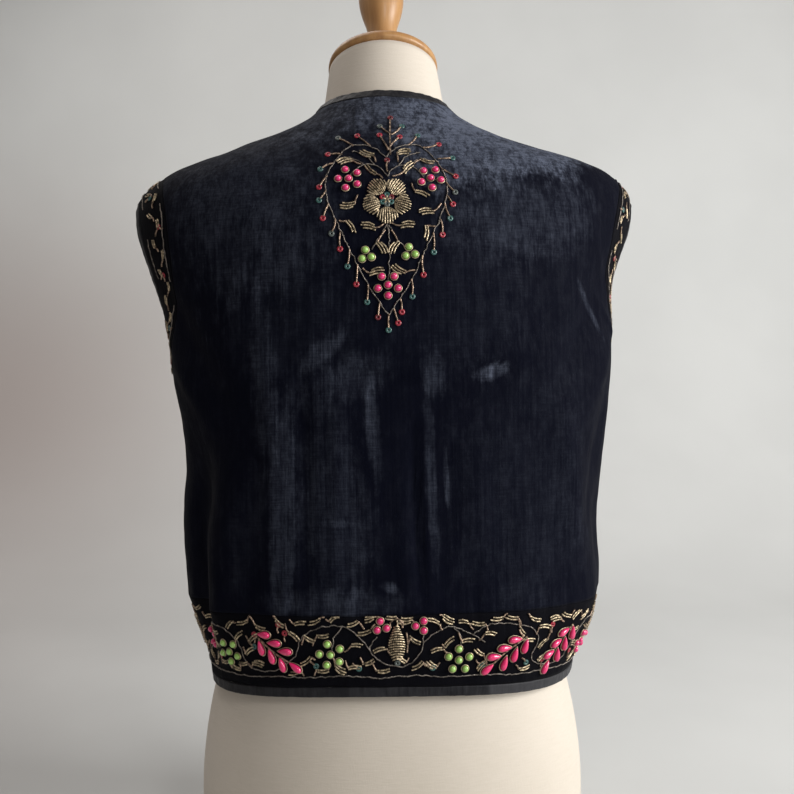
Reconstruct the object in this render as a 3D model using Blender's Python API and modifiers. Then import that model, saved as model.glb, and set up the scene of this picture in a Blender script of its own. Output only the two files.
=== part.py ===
"""An embroidered velvet waistcoat on a limbless dress form, at full size in metres.

The waistcoat faces -Y and its back faces +Y. Every piece of its cloth is cut from one shape, the
garment's outer surface, which is read at an angle round the body and at a height above the floor.
The angle is 0 at the centre of the back, +90 at the wearer's left side and 180 at the centre front.
"""

from collections import namedtuple
from functools import partial
from math import asin, copysign, cos, degrees, exp, radians, sin

import bmesh
import bpy
from mathutils import Matrix, Vector

# The middle of the body, which stands here so that the whole object is centred on the origin
BODY_AXIS = Vector((0.0017, 0.0097, 0.0))

# Cloth
CLOTH = 0.0022
BINDING_THICKNESS = 0.0028
BINDING_PROUD = 0.0003
BINDING_WIDTH = 0.008
SEAM_GAP = 0.0003
ARMHOLE_GAP = 0.0006

# Heights of the waistcoat's edges and seams
HEM = 0.175
HEM_BAND_TOP = 0.241
NECK_BACK = 0.6685
NECK_SIDE = 0.6680
V_POINT = 0.500
V_TOP_HALF_WIDTH = 0.0640
STRAP_TIP_DROP = 0.0006

# Front edges: half the distance between them at the V, how much they spread on the way down, and
# how far the V's own edges are from straight
FRONT_EDGE = 0.0115
FRONT_SPREAD = 0.012
V_CURVE = 1.15

# Hem: it waves a little as it hangs, and lies lower at the sides
HEM_SIDE_DROP = 0.0035
HEM_WAVE = 0.0028
HEM_WAVES = 3
HEM_WAVE_START = 150.0
HEM_WAVE_REACH = 0.10

# The two egg-shaped lines round each armhole, as a middle height, half a height, and for its back
# and its front a reach in degrees from the shoulder line, which grows towards the top by the skew
Oval = namedtuple("Oval", "middle half_height back_reach front_reach back_skew front_skew")
ARMHOLE_SEAM = Oval(0.5175, 0.0940, 31.0, 40.0, 0.50, -0.05)
ARMHOLE_EDGE = Oval(0.5230, 0.0640, 12.0, 23.0, 0.60, -0.10)
OVAL_FULLNESS = 0.70
ARMHOLE_BINDING_SHARE = 0.80

# The wearer's two sides, and how far each armhole's middle is turned towards the front, in degrees
LEFT, RIGHT = 1, -1
ARMHOLE_TURN = {LEFT: 0.0, RIGHT: 7.0}

# The waistcoat's outer surface: one row for each level, with half its width, how far the back and
# the front stand from the shoulder line, how square the section is (2 is an ellipse) and how far
# it hangs to the wearer's left. All but the front hangs so: a larger spread leaves less of it straight.
SHIFT_SPREAD = 0.8
Section = namedtuple("Section", "height half_width back front square shift")
WAISTCOAT = (
    Section(0.166, 0.1600, 0.1160, 0.1120, 2.38, -0.0005),
    Section(0.186, 0.1630, 0.1180, 0.1150, 2.38, -0.0015),
    Section(0.205, 0.1695, 0.1195, 0.1180, 2.38, -0.0035),
    Section(0.225, 0.1800, 0.1205, 0.1210, 2.38, -0.0070),
    Section(0.250, 0.1860, 0.1205, 0.1240, 2.38, -0.0070),
    Section(0.300, 0.1855, 0.1195, 0.1280, 2.36, -0.0035),
    Section(0.360, 0.1860, 0.1190, 0.1340, 2.36, -0.0080),
    Section(0.400, 0.1925, 0.1195, 0.1390, 2.34, -0.0070),
    Section(0.435, 0.1975, 0.1205, 0.1400, 2.30, -0.0050),
    Section(0.470, 0.1990, 0.1210, 0.1370, 2.24, -0.0045),
    Section(0.505, 0.2040, 0.1205, 0.1280, 2.16, 0.0010),
    Section(0.540, 0.2170, 0.1180, 0.1160, 2.10, 0.0020),
    Section(0.568, 0.2255, 0.1130, 0.1020, 2.06, 0.0005),
    Section(0.588, 0.2250, 0.1070, 0.0910, 2.04, -0.0020),
    Section(0.602, 0.2165, 0.1010, 0.0835, 2.02, -0.0040),
    Section(0.612, 0.2030, 0.0950, 0.0775, 2.00, -0.0060),
    Section(0.621, 0.1800, 0.0900, 0.0730, 2.00, -0.0050),
    Section(0.630, 0.1500, 0.0845, 0.0690, 2.00, -0.0020),
    Section(0.641, 0.1180, 0.0780, 0.0650, 2.00, 0.0000),
    Section(0.652, 0.0895, 0.0710, 0.0610, 2.00, 0.0000),
    Section(0.663, 0.0700, 0.0640, 0.0575, 2.00, 0.0000),
    Section(0.674, 0.0615, 0.0580, 0.0560, 2.00, 0.0000),
    Section(0.688, 0.0590, 0.0545, 0.0550, 2.00, 0.0000),
)

# Folds run down the cloth from one angle and height to another, fading over the first third and the
# last fifth of their way. A positive depth is a ridge and a negative one a trough.
FADE_IN = 3.0
FADE_OUT = 5.0
Fold = namedtuple("Fold", "top bottom start_angle end_angle half_width depth")
FOLDS = (
    Fold(0.400, 0.190, 42.0, 57.0, 7.0, 0.0060),
    Fold(0.395, 0.183, 62.0, 71.0, 7.0, -0.0150),
    Fold(0.420, 0.200, 84.0, 92.0, 9.0, 0.0040),
    Fold(0.430, 0.215, -6.0, -11.0, 6.0, -0.0035),
    Fold(0.450, 0.215, 16.0, 22.0, 9.0, 0.0030),
    Fold(0.460, 0.270, -36.0, -52.0, 7.0, 0.0045),
    Fold(0.380, 0.200, -68.0, -76.0, 8.0, -0.0060),
    Fold(0.420, 0.210, -124.0, -130.0, 8.0, -0.0060),
    Fold(0.400, 0.190, 132.0, 126.0, 8.0, -0.0055),
    Fold(0.430, 0.220, 158.0, 160.0, 6.0, 0.0040),
)

# The dress form, by level, with how far the section's middle leans towards the front and its tilt
FormSection = namedtuple("FormSection", "height half_width back front square lean tilt")
FORM = (
    FormSection(0.0153, 0.1690, 0.1140, 0.1060, 2.20, 0.0000, 0.0),
    FormSection(0.0600, 0.1722, 0.1185, 0.1070, 2.20, 0.0000, 0.0),
    FormSection(0.1000, 0.1705, 0.1170, 0.1065, 2.20, 0.0000, 0.0),
    FormSection(0.1400, 0.1645, 0.1130, 0.1050, 2.18, 0.0000, 0.0),
    FormSection(0.1750, 0.1560, 0.1070, 0.1020, 2.15, 0.0000, 0.0),
    FormSection(0.2200, 0.1400, 0.0950, 0.0950, 2.12, 0.0000, 0.0),
    FormSection(0.2700, 0.1230, 0.0850, 0.0880, 2.10, 0.0000, 0.0),
    FormSection(0.3100, 0.1240, 0.0870, 0.0930, 2.10, 0.0000, 0.0),
    FormSection(0.3600, 0.1340, 0.0950, 0.1060, 2.15, 0.0000, 0.0),
    FormSection(0.4200, 0.1460, 0.1040, 0.1240, 2.20, 0.0000, 0.0),
    FormSection(0.4700, 0.1520, 0.1090, 0.1230, 2.25, 0.0000, 0.0),
    FormSection(0.5150, 0.1610, 0.1090, 0.1090, 2.25, 0.0000, 0.0),
    FormSection(0.5500, 0.1720, 0.1050, 0.0940, 2.20, 0.0000, 0.0),
    FormSection(0.5780, 0.1770, 0.0990, 0.0830, 2.15, 0.0000, 0.0),
    FormSection(0.5960, 0.1720, 0.0920, 0.0760, 2.10, 0.0000, 0.0),
    FormSection(0.6100, 0.1560, 0.0850, 0.0700, 2.05, 0.0000, 0.0),
    FormSection(0.6240, 0.1240, 0.0770, 0.0640, 2.00, 0.0000, 0.0),
    FormSection(0.6380, 0.0950, 0.0680, 0.0590, 2.00, 0.0000, 0.0),
    FormSection(0.6510, 0.0730, 0.0590, 0.0545, 2.00, 0.0000, 1.5),
    FormSection(0.6640, 0.0590, 0.0530, 0.0520, 2.00, 0.0010, 4.0),
    FormSection(0.6780, 0.0550, 0.0505, 0.0500, 2.00, 0.0030, 7.5),
    FormSection(0.6960, 0.0527, 0.0500, 0.0495, 2.00, 0.0075, 12.0),
    FormSection(0.7140, 0.0503, 0.0490, 0.0490, 2.00, 0.0125, 16.0),
)
FORM_SEGMENTS = 40
BOARD_THICKNESS = 0.015
BOARD_INSET = 0.0020
BOARD_BEVEL = 0.0025

# Turned wood on the neck: radius and height of each point of the profile, from the top down
NECK_TILT = 16.0
CAP_PROFILE = (
    (0.0000, 0.0135),
    (0.0300, 0.0133),
    (0.0430, 0.0124),
    (0.0485, 0.0105),
    (0.0508, 0.0075),
    (0.0512, 0.0035),
    (0.0505, 0.0000),
    (0.0000, 0.0000),
)
FINIAL_PROFILE = (
    (0.0000, 0.0985),
    (0.0070, 0.0972),
    (0.0140, 0.0928),
    (0.0192, 0.0848),
    (0.0218, 0.0740),
    (0.0215, 0.0630),
    (0.0188, 0.0500),
    (0.0148, 0.0390),
    (0.0128, 0.0280),
    (0.0126, 0.0120),
    (0.0132, 0.0050),
    (0.0145, 0.0000),
    (0.0000, 0.0000),
)
TURNING_STEPS = 40

# How finely the cloth is divided
BACK_COLUMNS = 28
FRONT_COLUMNS = 12
HEM_BAND_ROWS = 3
BODY_ROWS = 9
ARMHOLE_ROWS = 10
SHOULDER_ROWS = 7
SIDE_CROWDING = 0.30
ARMHOLE_COLUMNS = 3

SIDE = 90.0
FULL_TURN = 360.0
STEP = 1e-4

Look = namedtuple("Look", "red green blue roughness metallic")
LOOKS = {
    "velvet": Look(0.012, 0.014, 0.022, 0.85, 0.0),
    "border_velvet": Look(0.008, 0.008, 0.011, 0.9, 0.0),
    "satin": Look(0.02, 0.02, 0.024, 0.4, 0.0),
    "linen": Look(0.72, 0.67, 0.58, 0.9, 0.0),
    "wood": Look(0.55, 0.33, 0.14, 0.45, 0.0),
}


def clear_scene():
    for obj in list(bpy.data.objects):
        bpy.data.objects.remove(obj)


def material(look):
    """One Principled material for each finish, made once."""
    found = bpy.data.materials.get(look)
    if found:
        return found
    made = bpy.data.materials.new(look)
    made.use_nodes = True
    shader = made.node_tree.nodes["Principled BSDF"]
    values = LOOKS[look]
    shader.inputs["Base Color"].default_value = (*values[:3], 1)
    shader.inputs["Roughness"].default_value = values.roughness
    shader.inputs["Metallic"].default_value = values.metallic
    return made


def add_object(name, bm, look, collection):
    """The bmesh as a named object with smooth faces pointing out."""
    bmesh.ops.recalc_face_normals(bm, faces=bm.faces)
    if bm.calc_volume(signed=True) < 0:
        bmesh.ops.reverse_faces(bm, faces=bm.faces)
    mesh = bpy.data.meshes.new(name)
    bm.to_mesh(mesh)
    bm.free()
    mesh.shade_smooth()
    mesh.materials.append(material(look))
    obj = bpy.data.objects.new(name, mesh)
    obj.location = BODY_AXIS
    collection.objects.link(obj)
    return obj


def steady_slopes(xs, ys):
    """Slopes at each row that keep a curve through the rows from overshooting between them."""
    steps = [(y1 - y0) / (x1 - x0) for x0, x1, y0, y1 in zip(xs, xs[1:], ys, ys[1:])]
    slopes = [steps[0]]
    for before, after in zip(steps, steps[1:]):
        slopes.append(0.0 if before * after <= 0 else 2 * before * after / (before + after))
    slopes.append(steps[-1])
    return slopes


class Profile:
    """Reads one column of a table of levels as a smooth curve of the height."""

    def __init__(self, rows, column):
        self.heights = [row.height for row in rows]
        self.values = [getattr(row, column) for row in rows]
        self.slopes = steady_slopes(self.heights, self.values)

    def __call__(self, height):
        last = len(self.heights) - 2
        k = max(0, min(last, sum(h <= height for h in self.heights) - 1))
        span = self.heights[k + 1] - self.heights[k]
        t = max(0.0, min(1.0, (height - self.heights[k]) / span))
        low, high = self.values[k], self.values[k + 1]
        slope_low, slope_high = self.slopes[k] * span, self.slopes[k + 1] * span
        return (
            low * (1 + 2 * t) * (1 - t) ** 2
            + slope_low * t * (1 - t) ** 2
            + high * t * t * (3 - 2 * t)
            + slope_high * t * t * (t - 1)
        )


def profiles_of(rows):
    return {column: Profile(rows, column) for column in rows[0]._fields[1:]}


def section_point(shape, angle, height):
    """A point on a rounded section, as x and y."""
    turn = radians(angle)
    power = 2 / shape["square"](height)
    depth = shape["back"](height) if cos(turn) >= 0 else shape["front"](height)
    x = shape["half_width"](height) * copysign(abs(sin(turn)) ** power, sin(turn))
    return x, depth * copysign(abs(cos(turn)) ** power, cos(turn))


def side_shift(angle, height):
    """How far the waistcoat hangs sideways: less towards the front, whose edges stay in the middle."""
    return WAISTCOAT_SHAPE["shift"](height) * smooth_step((1 + cos(radians(angle))) * SHIFT_SPREAD)


WAISTCOAT_SHAPE = profiles_of(WAISTCOAT)
FORM_SHAPE = profiles_of(FORM)


def smooth_step(t):
    t = max(0.0, min(1.0, t))
    return t * t * (3 - 2 * t)


def hem_drop(angle, height):
    """How far the cloth near the hem hangs up or down as the hem waves round the body."""
    fade = 1 - smooth_step((height - HEM) / HEM_WAVE_REACH)
    wave = HEM_WAVE * cos(radians(HEM_WAVES * angle + HEM_WAVE_START))
    return -fade * (wave + HEM_SIDE_DROP * sin(radians(angle)) ** 2)


def fold_depth(angle, height):
    total = 0.0
    for fold in FOLDS:
        along = (fold.top - height) / (fold.top - fold.bottom)
        if not 0 < along < 1:
            continue
        middle = fold.start_angle + along * (fold.end_angle - fold.start_angle)
        across = (angle - middle) / fold.half_width
        fade = smooth_step(FADE_IN * along) * smooth_step(FADE_OUT * (1 - along))
        total += fold.depth * exp(-across * across) * fade
    return total


def bare_point(angle, height):
    x, y = section_point(WAISTCOAT_SHAPE, angle, height)
    return Vector((x + side_shift(angle, height), y, height + hem_drop(angle, height)))


def outward(angle, height):
    """The direction straight out of the waistcoat's surface."""
    turn = degrees(STEP) * 10
    round_body = bare_point(angle + turn, height) - bare_point(angle - turn, height)
    upward = bare_point(angle, height + STEP) - bare_point(angle, height - STEP)
    return upward.cross(round_body).normalized()


def cloth_point(angle, height, lift=0.0):
    """A point of the waistcoat's outer surface with its folds, moved out by the lift."""
    return bare_point(angle, height) + outward(angle, height) * (fold_depth(angle, height) + lift)


def angle_of_x(x, height):
    """The angle from the centre line at which the section reaches this far sideways."""
    share = min(1.0, x / WAISTCOAT_SHAPE["half_width"](height))
    return degrees(asin(share ** (WAISTCOAT_SHAPE["square"](height) / 2)))


def oval_place(oval, phase, back, side):
    """Angle and height on an oval, for a phase from -90 at the underarm to 90 at the top."""
    rise = sin(radians(phase))
    width = abs(cos(radians(phase))) ** OVAL_FULLNESS
    height = oval.middle + oval.half_height * rise
    if back:
        reach = -oval.back_reach * (1 + oval.back_skew * rise)
    else:
        reach = oval.front_reach * (1 + oval.front_skew * rise)
    return SIDE + width * (reach + ARMHOLE_TURN[side]), height


def armhole_phases():
    return [-90 + 180 * k / ARMHOLE_ROWS for k in range(ARMHOLE_ROWS + 1)]


def shoulder_start():
    return ARMHOLE_SEAM.middle + ARMHOLE_SEAM.half_height


def underarm():
    return ARMHOLE_SEAM.middle - ARMHOLE_SEAM.half_height


def side_rows(back, side):
    """The rows of a back or front panel from the hem band up: each has a height and its side angle."""
    bottom = HEM_BAND_TOP + SEAM_GAP
    rows = [(bottom + (underarm() - bottom) * k / BODY_ROWS, SIDE) for k in range(BODY_ROWS)]
    for phase in armhole_phases():
        angle, height = oval_place(ARMHOLE_SEAM, phase, back, side)
        rows.append((height, angle))
    start = shoulder_start()
    for k in range(1, SHOULDER_ROWS + 1):
        rows.append((start + (NECK_SIDE - start) * k / SHOULDER_ROWS, SIDE))
    return rows


def gap_angle(height):
    """Half a seam's gap, as an angle at this height."""
    return degrees(SEAM_GAP / 2 / WAISTCOAT_SHAPE["half_width"](height))


def crowded(share):
    """A share across a panel from -1 to 1, with the columns closer together near the sides."""
    return (1 + SIDE_CROWDING) * share - SIDE_CROWDING * share**3


def back_neck_height(angle):
    return NECK_BACK + (NECK_SIDE - NECK_BACK) * abs(angle / SIDE) ** 3


def front_edge_x(height):
    """Half the opening between the fronts: edges that nearly meet, and above them a V neckline."""
    if height <= V_POINT:
        return FRONT_EDGE + FRONT_SPREAD * (V_POINT - height)
    rise = (height - V_POINT) / (NECK_SIDE - V_POINT)
    return FRONT_EDGE + (V_TOP_HALF_WIDTH - FRONT_EDGE) * rise**V_CURVE


def front_edge_angle(height):
    return 2 * SIDE - angle_of_x(front_edge_x(height), height)


def back_angle(column, side_angle, height):
    return crowded(2 * column / BACK_COLUMNS - 1) * (side_angle - gap_angle(height))


def back_cut(column, row):
    rows = side_rows(back=True, side=LEFT if 2 * column > BACK_COLUMNS else RIGHT)
    height, side_angle = rows[row]
    angle = back_angle(column, side_angle, height)
    above = row - BODY_ROWS - ARMHOLE_ROWS
    if above > 0:
        start = shoulder_start()
        height = start + (back_neck_height(angle) - start) * above / SHOULDER_ROWS
    return angle, height


def front_angle(column, side_angle, height):
    """The angle of a front's column, from its front edge to its side edge."""
    inner, outer = front_edge_angle(height), side_angle + gap_angle(height)
    return inner + (outer - inner) * column / FRONT_COLUMNS


def front_cut(side, column, row):
    """side is 1 for the wearer's left front and -1 for the right."""
    rows = side_rows(back=False, side=side)
    height, side_angle = rows[row]
    if row == len(rows) - 1:
        height -= STRAP_TIP_DROP
    return side * front_angle(column, side_angle, height), height


def cloth_wall(name, cut, columns, rows, look, collection):
    """A panel as a wall: a flat grid and its copy, moved to the outer and inner faces of the cloth."""
    bm = bmesh.new()
    bmesh.ops.create_grid(bm, x_segments=columns, y_segments=rows, size=0.5)
    made = bmesh.ops.extrude_face_region(bm, geom=bm.faces[:])
    inner = {v for v in made["geom"] if isinstance(v, bmesh.types.BMVert)}
    for vertex in bm.verts:
        column, row = round((vertex.co.x + 0.5) * columns), round((vertex.co.y + 0.5) * rows)
        angle, height = cut(column, row)
        vertex.co = cloth_point(angle, height, -CLOTH if vertex in inner else 0.0)
    return add_object(name, bm, look, collection)


def loft(name, loops, look, collection, closed=False):
    """Skins loops of equal length: a tube with capped ends, or a ring if it is closed."""
    bm = bmesh.new()
    rings = [[bm.verts.new(point) for point in loop] for loop in loops]
    pairs = list(zip(rings, rings[1:]))
    if closed:
        pairs.append((rings[-1], rings[0]))
    else:
        bm.faces.new(rings[0])
        bm.faces.new(rings[-1])
    for near, far in pairs:
        for k, _ in enumerate(near):
            after = (k + 1) % len(near)
            bm.faces.new((near[k], near[after], far[after], far[k]))
    return add_object(name, bm, look, collection)


def hem_row(row):
    bottom = HEM + BINDING_WIDTH + SEAM_GAP
    return bottom + (HEM_BAND_TOP - bottom) * row / HEM_BAND_ROWS


def hem_back_cut(column, row):
    return back_angle(column, SIDE, hem_row(row)), hem_row(row)


def hem_front_cut(side, column, row):
    return side * front_angle(column, SIDE, hem_row(row)), hem_row(row)


def hem_angles(height):
    """The angles of the columns all round the hem, from the left front edge to the right one."""
    left = [front_angle(column, SIDE, height) for column in range(FRONT_COLUMNS + 1)]
    back = [back_angle(column, SIDE, height) for column in reversed(range(BACK_COLUMNS + 1))]
    return left + back + [-angle for angle in reversed(left)]


def strip_loop(edge, away, out):
    """The four corners of a binding's section, from a panel's edge outwards."""
    proud, deep = out * BINDING_PROUD, out * (BINDING_PROUD - BINDING_THICKNESS)
    near, far = away * SEAM_GAP, away * (BINDING_WIDTH + SEAM_GAP)
    return [edge + near + proud, edge + far + proud, edge + far + deep, edge + near + deep]


def wall_section(places, front, thickness):
    """A section through a wall: its places from edge to edge on one face, then back on the other."""
    return [cloth_point(*place, front) for place in places] + [
        cloth_point(*place, front - thickness) for place in reversed(places)
    ]


def add_hem_binding(collection):
    loops = []
    for top_angle, low_angle in zip(hem_angles(HEM + BINDING_WIDTH), hem_angles(HEM)):
        places = [(top_angle, HEM + BINDING_WIDTH), (low_angle, HEM)]
        loops.append(wall_section(places, BINDING_PROUD, BINDING_THICKNESS))
    loft("hem_binding", loops, "satin", collection)


def add_neck_binding(collection):
    """One strip up the left front edge, round the neck and down the right front edge."""
    rows = len(side_rows(back=False, side=LEFT))
    up = [hem_front_cut(LEFT, 0, row) for row in range(HEM_BAND_ROWS)]
    up += [front_cut(LEFT, 0, row) for row in range(rows)]
    across = [back_cut(column, rows - 1) for column in reversed(range(BACK_COLUMNS + 1))]
    path = up + across + [(-angle, height) for angle, height in reversed(up)]
    points = [cloth_point(angle, height) for angle, height in path]
    loops = []
    for k, (angle, height) in enumerate(path):
        before, after = points[max(0, k - 1)], points[min(len(points) - 1, k + 1)]
        out = outward(angle, height)
        away = out.cross(after - before).normalized()
        loops.append(strip_loop(points[k], away, out))
    loft("neck_binding", loops, "satin", collection)


def armhole_path(side):
    """Pairs of places, on the seam and on the opening's edge, once round an armhole."""
    phases = armhole_phases()
    path = []
    for back, halves in ((True, phases), (False, list(reversed(phases))[1:-1])):
        for phase in halves:
            pair = [oval_place(oval, phase, back, side) for oval in (ARMHOLE_SEAM, ARMHOLE_EDGE)]
            path.append([(side * angle, height) for angle, height in pair])
    return path


def between(pair, share):
    (angle_a, height_a), (angle_b, height_b) = pair
    return angle_a + (angle_b - angle_a) * share, height_a + (height_b - height_a) * share


def add_armhole(side, word, collection):
    """The embroidered band round an armhole, and the binding that edges its opening."""
    path = armhole_path(side)
    band, binding = [], []
    for pair in path:
        width = (cloth_point(*pair[1]) - cloth_point(*pair[0])).length
        start, stop = ARMHOLE_GAP / width, ARMHOLE_BINDING_SHARE
        shares = [start + (stop - start) * k / ARMHOLE_COLUMNS for k in range(ARMHOLE_COLUMNS + 1)]
        band.append(wall_section([between(pair, share) for share in shares], 0.0, CLOTH))
        edges = (stop + ARMHOLE_GAP / width, 1.0)
        places = [between(pair, share) for share in edges]
        binding.append(wall_section(places, BINDING_PROUD, BINDING_THICKNESS))
    loft(f"armhole_band_{word}", band, "border_velvet", collection, closed=True)
    loft(f"armhole_binding_{word}", binding, "satin", collection, closed=True)


def form_loop(row):
    """A section of the dress form, tilted and leaning forward where the neck does."""
    loop = []
    for k in range(FORM_SEGMENTS):
        x, y = section_point(FORM_SHAPE, FULL_TURN * k / FORM_SEGMENTS, row.height)
        tilt = radians(row.tilt)
        loop.append(Vector((x, y * cos(tilt) - row.lean, row.height + y * sin(tilt))))
    return loop


def add_form(collection):
    loft("form_torso", [form_loop(row) for row in FORM], "linen", collection)

    bm = bmesh.new()
    share = 1 - BOARD_INSET / FORM[0].half_width
    outline = [Vector((point.x * share, point.y * share, 0)) for point in form_loop(FORM[0])]
    face = bm.faces.new([bm.verts.new(point) for point in outline])
    made = bmesh.ops.extrude_face_region(bm, geom=[face])
    top = [v for v in made["geom"] if isinstance(v, bmesh.types.BMVert)]
    bmesh.ops.translate(bm, verts=top, vec=(0, 0, BOARD_THICKNESS))
    rims = [e for e in bm.edges if abs(e.verts[0].co.z - e.verts[1].co.z) < STEP]
    bmesh.ops.bevel(
        bm, geom=rims, offset=BOARD_BEVEL, segments=2, profile=0.5, affect="EDGES", material=-1
    )
    add_object("form_base_board", bm, "wood", collection)


def turned(name, profile, foot, look, collection):
    """A piece turned on a lathe, standing on its foot in line with the tilted neck."""
    bm = bmesh.new()
    points = [bm.verts.new((radius, 0, height)) for radius, height in profile]
    for a, b in zip(points, points[1:]):
        bm.edges.new((a, b))
    mesh = bpy.data.meshes.new(name)
    bm.to_mesh(mesh)
    bm.free()
    mesh.materials.append(material(look))
    obj = bpy.data.objects.new(name, mesh)
    screw = obj.modifiers.new("Turned", "SCREW")
    screw.steps = screw.render_steps = TURNING_STEPS
    screw.use_merge_vertices = True
    screw.merge_threshold = 0.00005
    screw.use_smooth_shade = True
    obj.location = BODY_AXIS + foot
    obj.rotation_euler = (radians(NECK_TILT), 0, 0)
    collection.objects.link(obj)
    return obj


def neck_axis():
    return Matrix.Rotation(radians(NECK_TILT), 3, "X") @ Vector((0, 0, 1))


def add_neck_woodwork(collection):
    top = FORM[-1]
    foot = Vector((0, -top.lean, top.height)) + neck_axis() * SEAM_GAP
    turned("neck_cap", CAP_PROFILE, foot, "wood", collection)
    cap_height = CAP_PROFILE[0][1]
    turned("neck_finial", FINIAL_PROFILE, foot + neck_axis() * (cap_height + SEAM_GAP), "wood", collection)


def main():
    clear_scene()
    collection = bpy.data.collections.new("waistcoat_on_dress_form")
    bpy.context.scene.collection.children.link(collection)
    rows = len(side_rows(back=True, side=LEFT)) - 1
    cloth_wall("back_panel", back_cut, BACK_COLUMNS, rows, "velvet", collection)
    cloth_wall("hem_band_back", hem_back_cut, BACK_COLUMNS, HEM_BAND_ROWS, "border_velvet", collection)
    for side, word in ((LEFT, "left"), (RIGHT, "right")):
        panel, band = partial(front_cut, side), partial(hem_front_cut, side)
        cloth_wall(f"front_panel_{word}", panel, FRONT_COLUMNS, rows, "velvet", collection)
        cloth_wall(f"hem_band_{word}", band, FRONT_COLUMNS, HEM_BAND_ROWS, "border_velvet", collection)
        add_armhole(side, word, collection)
    add_hem_binding(collection)
    add_neck_binding(collection)
    add_form(collection)
    add_neck_woodwork(collection)


main()
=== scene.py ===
"""The looks of an embroidered velvet waistcoat, seen from the back on the linen form that wears it.

The cloth's pieces are thin shells on the outer sides of their solids. Purl, cord, pearls and sequins
are sewn on them: each design is drawn flat, in millimetres, and laid on a ground of finished cloth.
"""

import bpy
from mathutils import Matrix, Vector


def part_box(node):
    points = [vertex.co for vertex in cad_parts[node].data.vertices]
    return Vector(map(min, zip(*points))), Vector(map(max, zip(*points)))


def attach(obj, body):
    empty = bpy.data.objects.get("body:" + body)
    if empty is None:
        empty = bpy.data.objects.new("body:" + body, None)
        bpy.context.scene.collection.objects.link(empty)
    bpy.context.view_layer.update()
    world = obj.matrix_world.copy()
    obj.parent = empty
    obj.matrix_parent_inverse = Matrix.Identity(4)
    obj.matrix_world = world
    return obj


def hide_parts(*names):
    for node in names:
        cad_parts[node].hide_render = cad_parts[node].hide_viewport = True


bl_info = {
    "name": "Embroidered Waistcoat",
    "version": (1, 0, 0),
    "blender": (4, 5, 0),
    "location": "3D View > Sidebar > Waistcoat",
    "description": "Velvet, bindings and bead and metal-thread embroidery for a waistcoat on its form",
    "category": "Object",
}

from collections import defaultdict, namedtuple
from math import atan2, ceil, cos, pi, radians, sin
from random import Random

import bmesh
import bpy
import numpy as np
from bpy.props import FloatProperty, FloatVectorProperty, PointerProperty
from bpy.types import Operator, Panel, PropertyGroup
from mathutils import Matrix, Vector, noise
from mathutils.bvhtree import BVHTree

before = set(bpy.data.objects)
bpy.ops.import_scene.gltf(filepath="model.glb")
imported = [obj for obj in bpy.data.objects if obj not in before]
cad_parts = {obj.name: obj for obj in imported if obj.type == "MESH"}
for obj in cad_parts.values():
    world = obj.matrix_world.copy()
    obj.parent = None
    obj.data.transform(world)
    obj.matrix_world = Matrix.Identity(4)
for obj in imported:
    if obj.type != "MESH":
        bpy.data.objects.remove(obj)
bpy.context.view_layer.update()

MM = 0.001
BODY_AXIS = Vector((0.0017, 0.0097, 0.0))

# The middle of the heart's flower: its height, and how far right of the body's axis it is seen
HEART_CENTRE = 0.569
HEART_ACROSS = -0.0037

# How the outer side of a cloth wall is told from its rims and its inner side
MERGE = 0.00001
FACING_OUT = 0.6
ALL_ANGLES = pi
TIDY_GRID = 2.0

# How level a neighbour must be to vote on the side that a face is on, and how many times they vote
SAME_SIDE = 0.9
SETTLING_ROUNDS = 3

# How near an edge lies to the binding beside it, and the least turn of an edge that isn't upright
BESIDE = 0.003
UPRIGHT = 0.0001

# Cloth pieces: how far each is subdivided, its slot and finish, and its cut, laid flat
Cloth = namedtuple("Cloth", "node levels slot finish width length area")


def rows_of(kind, *rows):
    """The rows of a table as named tuples."""
    return tuple(kind(*row) for row in rows)


def pair(node, *rest):
    """The same cloth on the wearer's left and right."""
    return [Cloth(f"{node}_{side}", *rest) for side in ("left", "right")]


# The armhole bands come first, because the panels are tucked in under them
CLOTHS = (
    *pair("armhole_band", 3, "border_velvet", "velvet_border", 0.030, 0.560, 0.0153),
    Cloth("back_panel", 3, "velvet", "velvet_back", 0.520, 0.450, 0.195),
    *pair("front_panel", 2, "velvet", "velvet_front", 0.262, 0.450, 0.090),
    Cloth("hem_band_back", 3, "border_velvet", "velvet_border", 0.515, 0.058, 0.0296),
    *pair("hem_band", 3, "border_velvet", "velvet_border", 0.242, 0.058, 0.0138),
)
BINDINGS = (
    Cloth("neck_binding", 3, "satin", "satin_edge", 0.0105, 1.350, 0.0128),
    Cloth("hem_binding", 3, "satin", "satin_hem", 0.0105, 0.900, 0.0086),
    *pair("armhole_binding", 3, "satin", "satin_edge", 0.0105, 0.320, 0.0032),
)

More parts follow.
